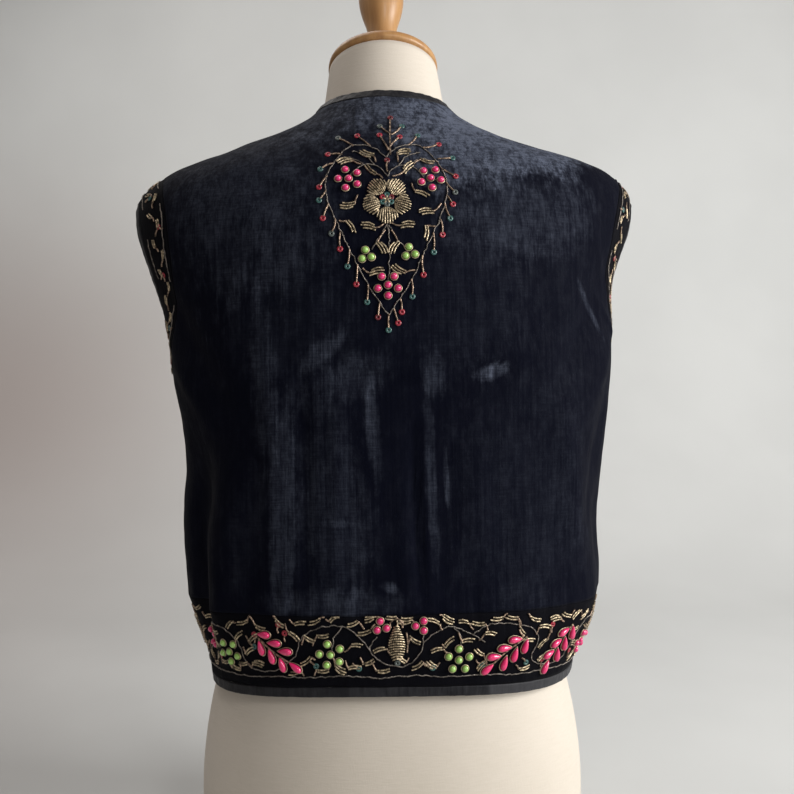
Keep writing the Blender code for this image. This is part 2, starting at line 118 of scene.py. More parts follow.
# Creases run over the cloth from one place to another and fade at both ends. A place is an angle
# round the body, 0 at the centre of the back and positive to the wearer's left, and a height.
# A positive depth is a ridge and a negative one a trough.
Crease = namedtuple("Crease", "start_angle start_height end_angle end_height half_width depth")
CREASES = rows_of(
    Crease,
    (-7, 0.400, -9, 0.236, 0.0036, -0.0034),
    (-10, 0.400, -13, 0.250, 0.0050, 0.0016),
    (-70, 0.500, -80, 0.462, 0.0030, 0.0016),
    (-66, 0.560, -74, 0.500, 0.0040, 0.0011),
    (-48, 0.640, -52, 0.590, 0.0040, -0.0010),
    (-2, 0.360, -4, 0.240, 0.0090, 0.0012),
    (44, 0.470, 42, 0.238, 0.0110, 0.0026),
    (33, 0.440, 31, 0.236, 0.0090, -0.0022),
    (21, 0.420, 22, 0.250, 0.0080, 0.0012),
    (29, 0.432, -12, 0.424, 0.0080, -0.0020),
    (-14, 0.428, -42, 0.436, 0.0070, -0.0018),
    (-30, 0.441, -46, 0.446, 0.0050, 0.0014),
    (-78, 0.540, -52, 0.410, 0.0110, -0.0034),
    (-84, 0.500, -60, 0.380, 0.0100, 0.0028),
    (-76, 0.430, -66, 0.300, 0.0100, -0.0030),
    (-56, 0.400, -62, 0.262, 0.0110, 0.0026),
    (-34, 0.380, -40, 0.250, 0.0110, -0.0016),
    (78, 0.520, 56, 0.400, 0.0110, -0.0034),
    (84, 0.490, 62, 0.385, 0.0090, 0.0024),
    (58, 0.600, 34, 0.560, 0.0100, -0.0016),
    (-58, 0.600, -36, 0.552, 0.0100, -0.0016),
    (13, 0.662, 8, 0.615, 0.0040, -0.0010),
    (24, 0.660, 15, 0.620, 0.0035, 0.0009),
    (-20, 0.660, -12, 0.628, 0.0040, -0.0009),
    (100, 0.400, 94, 0.250, 0.0100, 0.0026),
    (-100, 0.400, -94, 0.240, 0.0100, 0.0022),
    (110, 0.420, 118, 0.240, 0.0110, -0.0032),
    (-112, 0.430, -120, 0.250, 0.0110, -0.0028),
    (118, 0.560, 150, 0.450, 0.0120, -0.0026),
    (-120, 0.560, -152, 0.440, 0.0110, -0.0030),
    (140, 0.430, 146, 0.240, 0.0090, 0.0022),
    (-138, 0.440, -144, 0.240, 0.0100, 0.0024),
    (152, 0.400, 130, 0.330, 0.0080, -0.0014),
    (-150, 0.380, -128, 0.320, 0.0080, -0.0016),
    (162, 0.600, 156, 0.500, 0.0080, -0.0014),
    (-160, 0.610, -157, 0.500, 0.0080, -0.0012),
)
ROUND = 0.170
CREASE_FADE = 0.6

# Small gathers along the seam between the panels and the hem bands
GATHERS = 46
GATHER_SEAM = 0.2412
GATHER_SEED = 4

# Patches of painted sheen on the back's pile: across to the wearer's left, height, half sizes, slant
SheenPatch = namedtuple("SheenPatch", "across height half_width half_height slant gain softness")
SHEEN_PATCHES = rows_of(
    SheenPatch,
    (-0.120, 0.650, 0.120, 0.055, 19, 1.00, 0.35),
    (-0.030, 0.668, 0.080, 0.045, 0, 0.55, 0.60),
    (0.060, 0.662, 0.100, 0.040, -14, 0.36, 0.60),
    (0.120, 0.585, 0.080, 0.105, -10, 0.23, 0.60),
    (0.085, 0.480, 0.060, 0.070, 0, 0.07, 0.60),
    (-0.105, 0.560, 0.065, 0.035, 12, 0.22, 0.60),
    (-0.060, 0.500, 0.050, 0.080, 0, 0.05, 0.60),
    (0.104, 0.430, 0.011, 0.080, 3, 0.17, 0.50),
    (0.089, 0.320, 0.011, 0.100, -2, 0.24, 0.25),
    (0.050, 0.330, 0.030, 0.090, 6, 0.15, 0.60),
    (0.120, 0.300, 0.016, 0.060, -12, 0.06, 0.60),
    (0.056, 0.450, 0.022, 0.008, 40, 0.28, 0.60),
    (0.030, 0.430, 0.030, 0.018, 20, 0.16, 0.60),
    (0.017, 0.385, 0.006, 0.045, 3, 0.28, 0.60),
    (-0.030, 0.430, 0.010, 0.022, 8, 0.24, 0.60),
    (-0.028, 0.355, 0.005, 0.075, 2, 0.20, 0.60),
    (-0.040, 0.350, 0.0025, 0.025, 2, 0.24, 0.40),
    (0.006, 0.264, 0.008, 0.005, -24, 0.36, 0.60),
    (0.050, 0.252, 0.060, 0.012, 0, 0.20, 0.70),
    (0.045, 0.315, 0.013, 0.004, 0, 0.22, 0.60),
    (-0.078, 0.432, 0.015, 0.007, 16, 0.62, 0.60),
    (-0.170, 0.484, 0.003, 0.024, 30, 0.24, 0.70),
    (-0.100, 0.330, 0.060, 0.110, 4, 0.06, 0.60),
)

# The fronts share the back's first four patches of painted sheen and have their own besides
FRONT_SHEEN_PATCHES = (
    *SHEEN_PATCHES[:4],
    *rows_of(
        SheenPatch,
        (0.115, 0.520, 0.040, 0.060, 12, 0.10, 0.60),
        (-0.115, 0.520, 0.040, 0.060, -12, 0.10, 0.60),
        (0.100, 0.360, 0.020, 0.090, -3, 0.12, 0.50),
        (-0.095, 0.340, 0.016, 0.080, 4, 0.14, 0.50),
        (-0.040, 0.430, 0.010, 0.040, 3, 0.18, 0.60),
        (0.050, 0.400, 0.012, 0.050, -4, 0.14, 0.60),
    ),
)

# The heart, in millimetres from the middle of its flower. Its left side is given; the right mirrors it.
HEART_SIDE = (
    (0, 37), (-8, 45.5), (-20, 49.5), (-31, 46), (-41, 34), (-47.5, 20), (-48, 6), (-43, -11),
    (-36, -27), (-26, -48), (-16, -68), (0, -92),
)
HEART_SCROLLS = (
    ((0, 21), (-6, 29), (-16, 31), (-24, 27), (-29, 20)),
    ((-9, 31), (-17, 40), (-27, 43)),
    ((-18, 31), (-28, 37), (-37, 33)),
    ((0, -20), (-7, -32), (-13, -40)),
)
HEART_STEM = ((0, -20), (1, -38), (0, -65))

# A leaf is a few strands side by side. Its place is its middle, its turn the way that its tip points,
# in degrees from the right, and its root where its stem starts.
Leaf = namedtuple("Leaf", "x y turn strands bend root_x root_y")
HEART_LEAVES = rows_of(
    Leaf,
    (-15, 41, 156, 3, 1, -8, 33),
    (-33, 34, 196, 3, -1, -20, 31),
    (-12, 26, 134, 2, 1, -3, 18),
    (-31, -4, 184, 3, 1, -23, 4),
    (-29, -22, -60, 2, 1, -38, -17),
    (-15, -22, 168, 3, -1, -3, -20),
    (-5, -39, -58, 3, 1, -2, -25),
    (-9, -58, 10, 3, 1, -20, -55),
    (15, 42, 6, 3, 1, 10, 33),
    (34, 34, -14, 2, -1, 22, 31),
    (18, 28, 46, 3, 1, 5, 20),
    (28, 5, -22, 2, 1, 20, 14),
    (31, -10, 186, 3, -1, 43, -3),
    (30, -27, 264, 2, 1, 38, -22),
    (16, -21, 4, 3, 1, 3, -19),
    (5, -39, 240, 3, -1, 3, -25),
    (8, -56, 148, 3, 1, 21, -57),
)

# Short rays of purl that end in a sequin, all round the heart: root, the way it points, length, colour
Ray = namedtuple("Ray", "x y turn length sequin")
HEART_RAYS = rows_of(
    Ray,
    (-12, 48, 136, 13, "red_sequin"),
    (-26, 48.5, 146, 13, "grey_sequin"),
    (-35, 40.5, 178, 10, "red_sequin"),
    (-42, 32, 204, 10, "teal_sequin"),
    (-47, 21, 236, 10, "red_sequin"),
    (-48, 8, 234, 8, "teal_sequin"),
    (-46, -3, 248, 11, "red_sequin"),
    (-41, -15, 256, 11, "grey_sequin"),
    (-37, -26, 268, 12, "red_sequin"),
    (-30, -40, 262, 12, "teal_sequin"),
    (-24, -52, 266, 14, "red_sequin"),
    (-16, -68, 266, 12, "teal_sequin"),
    (-7, -82, 262, 10, "dark_sequin"),
    (19, 49, 50, 11, "teal_sequin"),
    (31, 46.5, 16, 12, "red_sequin"),
    (42, 36, 6, 11, "teal_sequin"),
    (45, 27, -30, 11, "red_sequin"),
    (48, 15, -50, 9, "grey_sequin"),
    (48, 4, -58, 7, "red_sequin"),
    (46, -3, -72, 11, "teal_sequin"),
    (42, -16, -84, 11, "red_sequin"),
    (36, -27, -90, 14, "teal_sequin"),
    (27, -45, -88, 14, "red_sequin"),
    (18, -64, -88, 12, "teal_sequin"),
    (9, -79, -84, 9, "red_sequin"),
    (4, -87, -74, 10, "red_sequin"),
    (0, -91, -92, 11, "teal_sequin"),
    (3, 44, 116, 15, "red_sequin"),
    (2, 44, 52, 15, "red_sequin"),
    (1, 24, 90, 9, "dark_sequin"),
    (4, 40, 88, 35, "dark_sequin"),
    (5, 60, 138, 10, "grey_sequin"),
    (5.5, 59, 44, 11, "teal_sequin"),
)
PINK_FLOWERS = ((-30, 18, 18), (35.5, 18.5, -30), (-0.5, -68.5, 180))
GREEN_CLUSTERS = ((-17, -45), (17, -43))

# The border's figures, in millimetres from the centre of the back and up from the couched cord.
# Across is positive to the right as it is looked at.
Figure = namedtuple("Figure", "kind across up turn")
BORDER_FIGURES = rows_of(
    Figure,
    ("cone", -1, 27, 0),
    ("pink_cluster", -13, 40, 10),
    ("pink_cluster", 18, 40, -30),
    ("green_flower", -53, 18, 14),
    ("green_flower", 48, 13, 0),
    ("sprig", -98, 21, -38),
    ("sprig", 88, 18, 218),
    ("sprig", 140, 20, 238),
    ("green_flower", -143, 20, 30),
    ("pink_flower", -183, 26, 0),
    ("pink_flower", 176, 18, 20),
    ("cone", -222, 24, 6),
    ("cone", 206, 25, -4),
    ("green_flower", -254, 16, 0),
    ("green_flower", 244, 17, 0),
    ("sprig", -290, 20, -40),
    ("sprig", 287, 21, 220),
    ("pink_cluster", -330, 34, 0),
    ("pink_cluster", 328, 34, 20),
    ("green_flower", -362, 16, 10),
    ("green_flower", 360, 17, 0),
    ("pink_flower", -400, 24, 0),
    ("pink_flower", 398, 24, 0),
    ("cone", -438, 25, 0),
    ("cone", 436, 25, 0),
)
VINES = (
    ((-16, 32), (-22, 21), (-9, 10), (7, 9), (18, 20), (20, 32)),
    ((-22, 21), (-31, 32), (-43, 40), (-62, 39), (-76, 31), (-82, 17), (-100, 5), (-124, 8), (-132, 28)),
    ((-132, 28), (-146, 41), (-164, 42), (-184, 34), (-190, 16), (-206, 6), (-224, 12), (-232, 30)),
    ((-232, 30), (-246, 41), (-264, 38), (-272, 20), (-290, 6), (-308, 12), (-316, 30), (-334, 43)),
    (
        (-334, 43), (-350, 36), (-356, 6), (-374, 5), (-384, 24), (-398, 40), (-414, 36), (-420, 10),
        (-440, 5), (-456, 20),
    ),
    ((-42, 40), (-50, 31), (-52, 20)),
    ((20, 27), (29, 34), (42, 39), (59, 33), (69, 27)),
    ((60, 33), (74, 41), (104, 40), (116, 28), (112, 12), (128, 5), (150, 8), (158, 26), (168, 40)),
    ((168, 40), (186, 41), (196, 30), (192, 10), (206, 5), (222, 10), (230, 28), (244, 41), (262, 38)),
    ((262, 38), (270, 20), (286, 6), (304, 12), (314, 30), (332, 43), (348, 36), (354, 7), (372, 5)),
    ((372, 5), (382, 24), (396, 40), (412, 36), (418, 10), (436, 5), (454, 20)),
    ((44, 38), (50, 30), (48, 20)),
)

# Where the border ends to either side, and how low and high its leaves lie
BORDER_ENDS = (-462, 462)
LEAVES_LOW, LEAVES_HIGH = 4, 47.0
CORD_ABOVE_SEAM = 8.5
BORDER_SEQUINS = ((-94, 43), (-89, 36), (-116, 35), (128, 40), (124, 10), (-160, 14), (160, 12))
LOW_DROPS = ((-32, 6), (26, 6), (-118, 24), (106, 8), (-66, 8), (66, 8))
ROOM = {"cone": 13, "pink_cluster": 10, "green_flower": 14, "sprig": 19, "pink_flower": 14}
LEAF_TRIES = 7200
BORDER_SEED = 11
SPRAY_SEED = 3
SPRAY_STEP = 12.0
ARMHOLE_SHARE = 0.70
LEAF_ROOM = 10.6
THICK = 0.94
RIM_LIFT = 0.0005
VINE_ROOM = 4.4

# How the form, the finial and the cap are smoothed
SMOOTHED = (
    ("form_torso", 2, "linen", "linen_weave"),
    ("neck_cap", 1, "wood", "varnished_wood"),
    ("neck_finial", 1, "wood", "varnished_wood"),
)
LEVEL_FACE = 0.95

# Panels whose top row is tucked in under the armhole bands. A point of an open edge above TOP_ROW
# is moved if it lies nearer to a band than SEAM_REACH and is off it sideways by SEAM_GAP. It ends up
# SEAM_TUCK in from the band's edge and SEAM_DEPTH below it.
SEWN = {"back_panel": ("left", "right"), "front_panel_left": ("left",), "front_panel_right": ("right",)}
SEAM_GAP = 0.0003
SEAM_REACH = 0.0085
SEAM_TUCK = 0.0018
SEAM_DEPTH = 0.0008
TOP_ROW = 0.4230

# The wall's painted shade, for the form's soft shadow: middle across and up, half width and half height. Then
# how strong it is.
WALL_SHADE = (1.00, 0.40, 1.05, 0.85)
SHADE_SHARE = 0.98
# Colour of the painted shade, as a share of the wall's own colour
WALL_SHADE_TINT = (0.66, 0.58, 0.56)

# Square soft lights: name, place, size, power, colour
LIGHTS = (
    ("window", (-2.1, 0.9, 1.0), 1.2, 75.0, (1.0, 0.99, 0.97)),
    ("lamp", (-0.7, 2.0, 1.5), 0.4, 9.0, (1.0, 0.99, 0.97)),
    ("overhead", (0.6, -0.5, 2.0), 1.2, 11.0, (1.0, 0.96, 0.92)),
)
LIT_PLACE = Vector((0, 0, 0.42))
ROOM_COLOUR = (1.0, 0.91, 0.86, 1)
ROOM_STRENGTH = 0.23


# ---------------------------------------------------------------- settings


class ClothSettings(PropertyGroup):
    thickness: FloatProperty(
        name="Thickness", description="Thickness of the velvet", default=0.0018, unit="LENGTH"
    )
    binding_thickness: FloatProperty(
        name="Binding thickness",
        description="Thickness of the folded satin at the edges",
        default=0.0024,
        unit="LENGTH",
    )
    softness: FloatProperty(
        name="Softness",
        description="How far the cloth waves in and out between its creases",
        default=0.0009,
        unit="LENGTH",
    )
    pucker: FloatProperty(
        name="Pucker",
        description="Height of the small puckers along the bindings",
        default=0.00045,
        unit="LENGTH",
    )
    pile: FloatVectorProperty(
        name="Pile",
        description="Velvet seen into its pile",
        default=(0.0016, 0.0021, 0.0062), subtype="COLOR"
    )
    # Painted sheen: grey-blue for the velvet's lit patches, also used for its random crushed spots
    crush_and_sheen: FloatVectorProperty(
        name="Brushed pile",
        description="Velvet where its pile lies flat and catches the light",
        default=(0.082, 0.095, 0.132),
        subtype="COLOR",
    )
    border: FloatVectorProperty(
        name="Border pile",
        description="Velvet of the embroidered bands",
        default=(0.0022, 0.0022, 0.0038), subtype="COLOR"
    )
    satin: FloatVectorProperty(
        name="Satin", description="Satin of the bindings", default=(0.0070, 0.0070, 0.0094), subtype="COLOR"
    )
    # Paler satin: the hem binding's paler length, and painted sheen on the edge bindings
    paler_satin_and_sheen: FloatVectorProperty(
        name="Faded satin",
        description="The paler length of the hem's binding",
        default=(0.036, 0.036, 0.040), subtype="COLOR"
    )


class ThreadSettings(PropertyGroup):
    purl_radius: FloatProperty(
        name="Purl radius", description="Radius of the coiled metal strands", default=0.00070, unit="LENGTH"
    )
    ply_radius: FloatProperty(
        name="Ply radius",
        description="Radius of each of the cord's two plies",
        default=0.00029, unit="LENGTH"
    )
    cord_pitch: FloatProperty(
        name="Cord pitch",
        description="Length of one turn of the twisted cord",
        default=0.0024, unit="LENGTH"
    )
    gold: FloatVectorProperty(
        name="Gold",
        description="Old gilt purl of leaves and flowers",
        default=(0.76, 0.62, 0.42), subtype="COLOR"
    )
    bronze: FloatVectorProperty(
        name="Bronze",
        description="Darker purl of stems and rays",
        default=(0.52, 0.375, 0.275), subtype="COLOR"
    )
    silver: FloatVectorProperty(
        name="Silver", description="Tarnished silver cord", default=(0.34, 0.30, 0.265), subtype="COLOR"
    )


class BeadSettings(PropertyGroup):
    pearl_radius: FloatProperty(
        name="Pearl radius", description="Radius of the round pearls", default=0.0026, unit="LENGTH"
    )
    drop_length: FloatProperty(
        name="Drop length", description="Length of the drop-shaped pearls", default=0.0122, unit="LENGTH"
    )
    sequin_radius: FloatProperty(
        name="Sequin radius", description="Outer radius of the ring sequins", default=0.0026, unit="LENGTH"
    )
    pink: FloatVectorProperty(
        name="Pink", description="Pink pearls", default=(0.62, 0.010, 0.135), subtype="COLOR"
    )
    magenta: FloatVectorProperty(
        name="Magenta", description="Drop-shaped pearls", default=(0.66, 0.010, 0.125), subtype="COLOR"
    )
    green: FloatVectorProperty(
        name="Green", description="Green pearls", default=(0.27, 0.48, 0.095), subtype="COLOR"
    )
    red: FloatVectorProperty(
        name="Red", description="Red sequins", default=(0.28, 0.014, 0.030), subtype="COLOR"
    )
    teal: FloatVectorProperty(
        name="Teal", description="Teal sequins", default=(0.030, 0.095, 0.088), subtype="COLOR"
    )
    grey: FloatVectorProperty(
        name="Grey", description="Grey sequins", default=(0.070, 0.085, 0.080), subtype="COLOR"
    )


class StageSettings(PropertyGroup):
    distance: FloatProperty(
        name="Distance", description="From the camera to the body's axis", default=0.80, unit="LENGTH"
    )
    camera_height: FloatProperty(
        name="Camera height", description="Height of the lens above the floor", default=0.413, unit="LENGTH"
    )
    turn: FloatProperty(
        name="Turn",
        description="How far round the back the camera stands",
        default=radians(2.5), subtype="ANGLE"
    )
    pan: FloatProperty(
        name="Pan",
        description="How far the camera looks past the axis",
        default=radians(0.59), subtype="ANGLE"
    )
    roll: FloatProperty(
        name="Roll", description="How far the camera leans", default=radians(-0.77), subtype="ANGLE"
    )
    focal_length: FloatProperty(
        name="Focal length", description="On a sensor 36 mm wide", default=39.45, unit="CAMERA"
    )
    wall: FloatVectorProperty(
        name="Wall",
        description="Colour of the floor and the wall",
        default=(0.62, 0.632, 0.628), subtype="COLOR"
    )


# ---------------------------------------------------------------- shader nodes


class Wire:
    """A shader value that can be written in sums: each operator adds its own Math node."""

    def __init__(self, finish, socket):
        self.finish = finish
        self.socket = socket

    def __add__(self, other):
        return self.finish.math("ADD", self, other)

    def __sub__(self, other):
        return self.finish.math("SUBTRACT", self, other)

    def __mul__(self, other):
        return self.finish.math("MULTIPLY", self, other)

    def __rsub__(self, other):
        return self.finish.math("SUBTRACT", other, self)

    __radd__ = __add__
    __rmul__ = __mul__

    def step(self, low, high):
        """0 below low and 1 above high, with a soft rise between."""
        settings = {"interpolation_type": "SMOOTHSTEP"}
        return self.finish.node("ShaderNodeMapRange", settings, {"Value": self, 1: low, 2: high})


class Finish:
    """One material. Uniform values are set on its Principled BSDF; the rest comes from nodes."""

    def __init__(self, name, **uniform):
        self.material = bpy.data.materials.new(name)
        self.material.use_nodes = True
        self.tree = self.material.node_tree
        self.surface = self.tree.nodes["Principled BSDF"]
        for key, value in uniform.items():
            self.surface.inputs[key.replace("_", " ")].default_value = value

    def node(self, kind, settings, inputs, output=0):
        made = self.tree.nodes.new(kind)
        for key, value in settings.items():
            setattr(made, key, value)
        for key, value in inputs.items():
            self.feed(made.inputs[key], value)
        return Wire(self, made.outputs[output])

    def feed(self, socket, value):
        if isinstance(value, Wire):
            self.tree.links.new(value.socket, socket)
        else:
            socket.default_value = value

    def math(self, operation, *values):
        return self.node("ShaderNodeMath", {"operation": operation}, dict(enumerate(values)))

    def mix(self, factor, low, high):
        colours = [(*c, 1) if not isinstance(c, Wire) else c for c in (low, high)]
        inputs = {0: factor, 6: colours[0], 7: colours[1]}
        return self.node("ShaderNodeMix", {"data_type": "RGBA"}, inputs, 2)

    def place(self, source="Object"):
        return self.node("ShaderNodeTexCoord", {}, {}, source)

    def noise(self, scale, detail, roughness):
        """Noise with its own scale along each axis, so that it can be drawn out into streaks."""
        stretched = self.node("ShaderNodeMapping", {}, {"Vector": self.place(), "Scale": scale})
        inputs = {"Vector": stretched, "Scale": 1.0}
        return self.node("ShaderNodeTexNoise", {}, {**inputs, "Detail": detail, "Roughness": roughness})

    def waves(self, scale):
        """Waves along the piece's own UV map."""
        inputs = {"Vector": self.place("UV"), "Scale": scale}
        return self.node("ShaderNodeTexWave", {"bands_direction": "X"}, inputs, 1)

    def reach(self, across, height, half_width, half_height, slant=0.0):
        """How far a point lies from an upright ellipse's middle: 1 on its outline."""
        inputs = {
            "Vector": self.place(),
            "Location": (across, 0, height),
            "Rotation": (0, radians(slant), 0),
            "Scale": (half_width, 100, half_height),
        }
        local = self.node("ShaderNodeMapping", {"vector_type": "TEXTURE"}, inputs)
        return self.node("ShaderNodeVectorMath", {"operation": "LENGTH"}, {0: local}, "Value")

    def axis(self, name):
        return self.node("ShaderNodeSeparateXYZ", {}, {"Vector": self.place()}, name)

    def bump(self, height, strength, distance):
        """The given height as a normal, on top of any bump that is already there."""
        inputs = {"Height": height, "Strength": strength, "Distance": distance}
        links = self.surface.inputs["Normal"].links
        if links:
            inputs["Normal"] = Wire(self, links[0].from_socket)
        self.feed(self.surface.inputs["Normal"], self.node("ShaderNodeBump", {}, inputs))

    def set(self, name, value):
        self.feed(self.surface.inputs[name], value)


def velvet(name, pile, crush_and_sheen, patches=(), bare=0.03):
    """Crushed silk velvet: dark into the pile, grey-blue in random crushed spots and in ragged patches of
    painted sheen.
    """
    finish = Finish(name, Specular_IOR_Level=0.03, Sheen_Weight=0.015, Sheen_Roughness=0.5)
    clouds = finish.noise((15, 15, 9), 4.0, 0.62)
    crush = finish.noise((110, 110, 60), 6.0, 0.72)
    streaks = finish.noise((380, 380, 9), 3.0, 0.6)
    warp = finish.noise((1300, 1300, 90), 1.0, 0.5)
    weft = finish.noise((90, 90, 1000), 1.0, 0.5)
    ragged = clouds * 1.4 + crush * 1.0 + streaks * 0.5 - 1.45
    # Random crushed spots, and on top of them the patches of painted sheen
    crush_and_sheen_mask = (ragged + 0.1).step(-0.1, 0.5) * bare
    for patch in patches:
        across, edge = BODY_AXIS.x + patch.across, patch.softness
        reach = finish.reach(across, patch.height, patch.half_width, patch.half_height, patch.slant)
        crush_and_sheen_mask = crush_and_sheen_mask + (1 - (reach - ragged * edge * 1.5).step(1 - edge, 1 + edge * 0.4)) * patch.gain
    threads = (warp + weft).step(0.68, 1.32)
    crushed = (crush * 1.1 + streaks * 0.8).step(0.66, 1.24)
    light = crush_and_sheen_mask * (0.22 + crushed * 0.82) * (0.55 + threads * 0.74)
    finish.set("Base Color", finish.mix(light, pile, crush_and_sheen))
    finish.set("Roughness", 0.85 - crushed * 0.15)
    finish.bump(weft, 0.25, 0.00030)
    finish.bump(streaks, 0.30, 0.0007)
    finish.bump(crush, 0.45, 0.0014)
    return finish.material


def satin(name, colour, paler_tone, pale_beyond):
    """Black satin with small puckers across, paler beyond a line on the wearer's right: painted sheen on the
    edge bindings, a paler length on the hem's.
    """
    finish = Finish(name, Specular_IOR_Level=0.18, Sheen_Weight=0.02, Sheen_Roughness=0.3)
    ribs = finish.noise((420, 420, 420), 2.0, 0.5)
    wear = finish.noise((60, 60, 60), 4.0, 0.6)
    puckers = finish.noise((300, 300, 22), 3.0, 0.6)
    # Painted sheen on the edge bindings beyond this line; on the hem, only a paler length
    pale = (1 - (finish.axis("X") + wear * 0.010).step(pale_beyond - 0.004, pale_beyond)) * 0.85
    base = finish.mix(pale, colour, paler_tone)
    finish.set("Base Color", finish.mix((wear + puckers).step(0.85, 1.25) * 0.38, base, paler_tone))
    finish.set("Roughness", 0.40 + wear * 0.25)
    finish.bump(ribs, 0.25, 0.0002)
    finish.bump(wear, 0.35, 0.0010)
    finish.bump(puckers, 0.50, 0.0012)
    return finish.material


def linen(name, pale, shaded):
    """Closely woven linen, stretched over the form."""
    finish = Finish(name, Specular_IOR_Level=0.25, Sheen_Weight=0.10)
    warp = finish.noise((1500, 1500, 160), 2.0, 0.5)
    weft = finish.noise((160, 160, 1500), 2.0, 0.5)
    slubs = finish.noise((90, 90, 700), 3.0, 0.6)
    stains = finish.noise((7, 7, 7), 3.0, 0.5)
    tone = (stains * 0.6 + slubs * 0.4 + warp * 0.2).step(0.30, 0.95)
    finish.set("Base Color", finish.mix(tone, pale, shaded))
    finish.set("Roughness", 0.82 + weft * 0.12)
    finish.bump(warp + weft, 0.30, 0.00030)
    finish.bump(slubs, 0.25, 0.00045)
    return finish.material


def turned_wood(name, pale, dark):
    """Varnished wood with its grain running up the turning."""
    finish = Finish(name, Specular_IOR_Level=0.5, Coat_Weight=0.25, Coat_Roughness=0.22)
    grain = finish.noise((170, 170, 14), 5.0, 0.65)
    bands = finish.noise((34, 34, 6), 3.0, 0.5)
    finish.set("Base Color", finish.mix((grain * 0.7 + bands * 0.5).step(0.35, 0.85), pale, dark))
    finish.set("Roughness", 0.38 + grain * 0.18)
    finish.bump(grain, 0.12, 0.0004)
    return finish.material


def purl(name, colour, tarnish):
    """Coiled metal wire: fine ridges across each strand, darker in the hollows, with stretches along each
    strand darkened for tarnish and as painted shade between its glints.
    """
    finish = Finish(name, Metallic=0.85)
    coils = finish.waves(3.2)
    # Tarnish, and painted glints and shade: brighter and darker stretches along each strand
    age = finish.noise((480, 480, 480), 2.0, 0.6)
    shade = (coils * 0.24 + age * 1.30).step(0.54, 1.04)
    finish.set("Base Color", finish.mix(shade, tarnish, colour))
    finish.set("Roughness", 0.52 - shade * 0.18)
    finish.bump(coils, 0.40, 0.00025)
    return finish.material


def cord_metal(name, colour, tarnish):
    finish = Finish(name, Metallic=0.8)
    age = finish.noise((260, 260, 260), 3.0, 0.6)
    finish.set("Base Color", finish.mix(age.step(0.3, 0.7), tarnish, colour))
    finish.set("Roughness", 0.50 - age * 0.15)
    return finish.material


def lacquered(name, colour, worn, coat=1.0):
    """Pearl lacquer: a bright skin over a colour that pales a little where it has worn."""
    finish = Finish(name, Specular_IOR_Level=0.35, Coat_Weight=coat, Coat_Roughness=0.06)
    patina = finish.noise((420, 420, 420), 3.0, 0.6)
    finish.set("Base Color", finish.mix(patina.step(0.45, 0.85), colour, worn))
    finish.set("Roughness", 0.28 + patina * 0.2)
    return finish.material


def painted_wall(name, colour):
    """Off-white paint with a warm painted shade, for the form's soft shadow on the side away from the window.
    """
    finish = Finish(name, Specular_IOR_Level=0.2)
    mottling = finish.noise((3, 3, 3), 3.0, 0.5)
    paint = finish.mix(mottling.step(0.3, 0.7), colour, darker(colour, 0.05))
    # Painted shadow: warmer and darker inside the ellipse WALL_SHADE
    shade = tuple(channel * ratio for channel, ratio in zip(colour, WALL_SHADE_TINT))
    shaded = (1 - finish.reach(*WALL_SHADE).step(0.0, 1.0)) * SHADE_SHARE
    finish.set("Base Color", finish.mix(shaded, paint, shade))
    finish.set("Roughness", 0.9 - mottling * 0.05)
    finish.bump(finish.noise((120, 120, 120), 3.0, 0.6), 0.10, 0.0006)
    return finish.material


def paler(colour, share):
    return tuple(channel + (1 - channel) * share for channel in colour)


def darker(colour, share):
    return tuple(channel * (1 - share) for channel in colour)


def finish_called(name):
    """The material of this name, made the first time that it is asked for."""
    found = bpy.data.materials.get(name)
    if found:
        return found
    cloth, thread, bead = (getattr(bpy.context.scene, key) for key in ("w_cloth", "w_thread", "w_bead"))
    makers = {
        "velvet_back": lambda: velvet(name, cloth.pile, cloth.crush_and_sheen, SHEEN_PATCHES),
        "velvet_front": lambda: velvet(name, cloth.pile, cloth.crush_and_sheen, FRONT_SHEEN_PATCHES),
        "velvet_border": lambda: velvet(name, cloth.border, darker(cloth.crush_and_sheen, 0.60)),
        # The edge bindings are given painted sheen beyond X = -0.170
        "satin_edge": lambda: satin(name, cloth.satin, cloth.paler_satin_and_sheen, -0.170),
        "satin_hem": lambda: satin(name, cloth.satin, cloth.paler_satin_and_sheen, -0.064),
        "linen_weave": lambda: linen(name, (0.60, 0.545, 0.475), (0.525, 0.475, 0.400)),
        "varnished_wood": lambda: turned_wood(name, (0.47, 0.26, 0.095), (0.30, 0.14, 0.045)),
        "gold_purl": lambda: purl(name, thread.gold, darker(thread.gold, 0.90)),
        "bronze_purl": lambda: purl(name, thread.bronze, darker(thread.bronze, 0.88)),
        "gilt_wire": lambda: cord_metal(name, darker(thread.gold, 0.25), darker(thread.gold, 0.65)),
        "silver_cord": lambda: cord_metal(name, thread.silver, darker(thread.silver, 0.75)),
        "pink_pearl": lambda: lacquered(name, bead.pink, paler(bead.pink, 0.05)),
        "magenta_drop": lambda: lacquered(name, bead.magenta, paler(bead.magenta, 0.05)),
        "green_pearl": lambda: lacquered(name, bead.green, paler(bead.green, 0.10)),
        "red_sequin": lambda: lacquered(name, bead.red, darker(bead.red, 0.5), 0.35),
        "teal_sequin": lambda: lacquered(name, bead.teal, darker(bead.teal, 0.5), 0.35),
        "grey_sequin": lambda: lacquered(name, bead.grey, darker(bead.grey, 0.5), 0.35),
        "dark_sequin": lambda: lacquered(name, darker(bead.red, 0.6), darker(bead.red, 0.8), 0.35),
    }
    return makers[name]()


# ---------------------------------------------------------------- meshes


def add_piece(name, mesh, finish, slot):
    """The mesh as a piece of the object, which stands with the rest of it."""
    mesh.name = name
    mesh.materials.clear()
    mesh.materials.append(finish_called(finish))
    mesh.shade_smooth()
    piece = bpy.data.objects.new(name, mesh)
    bpy.context.scene.collection.objects.link(piece)
    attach(piece, "root")
    return piece


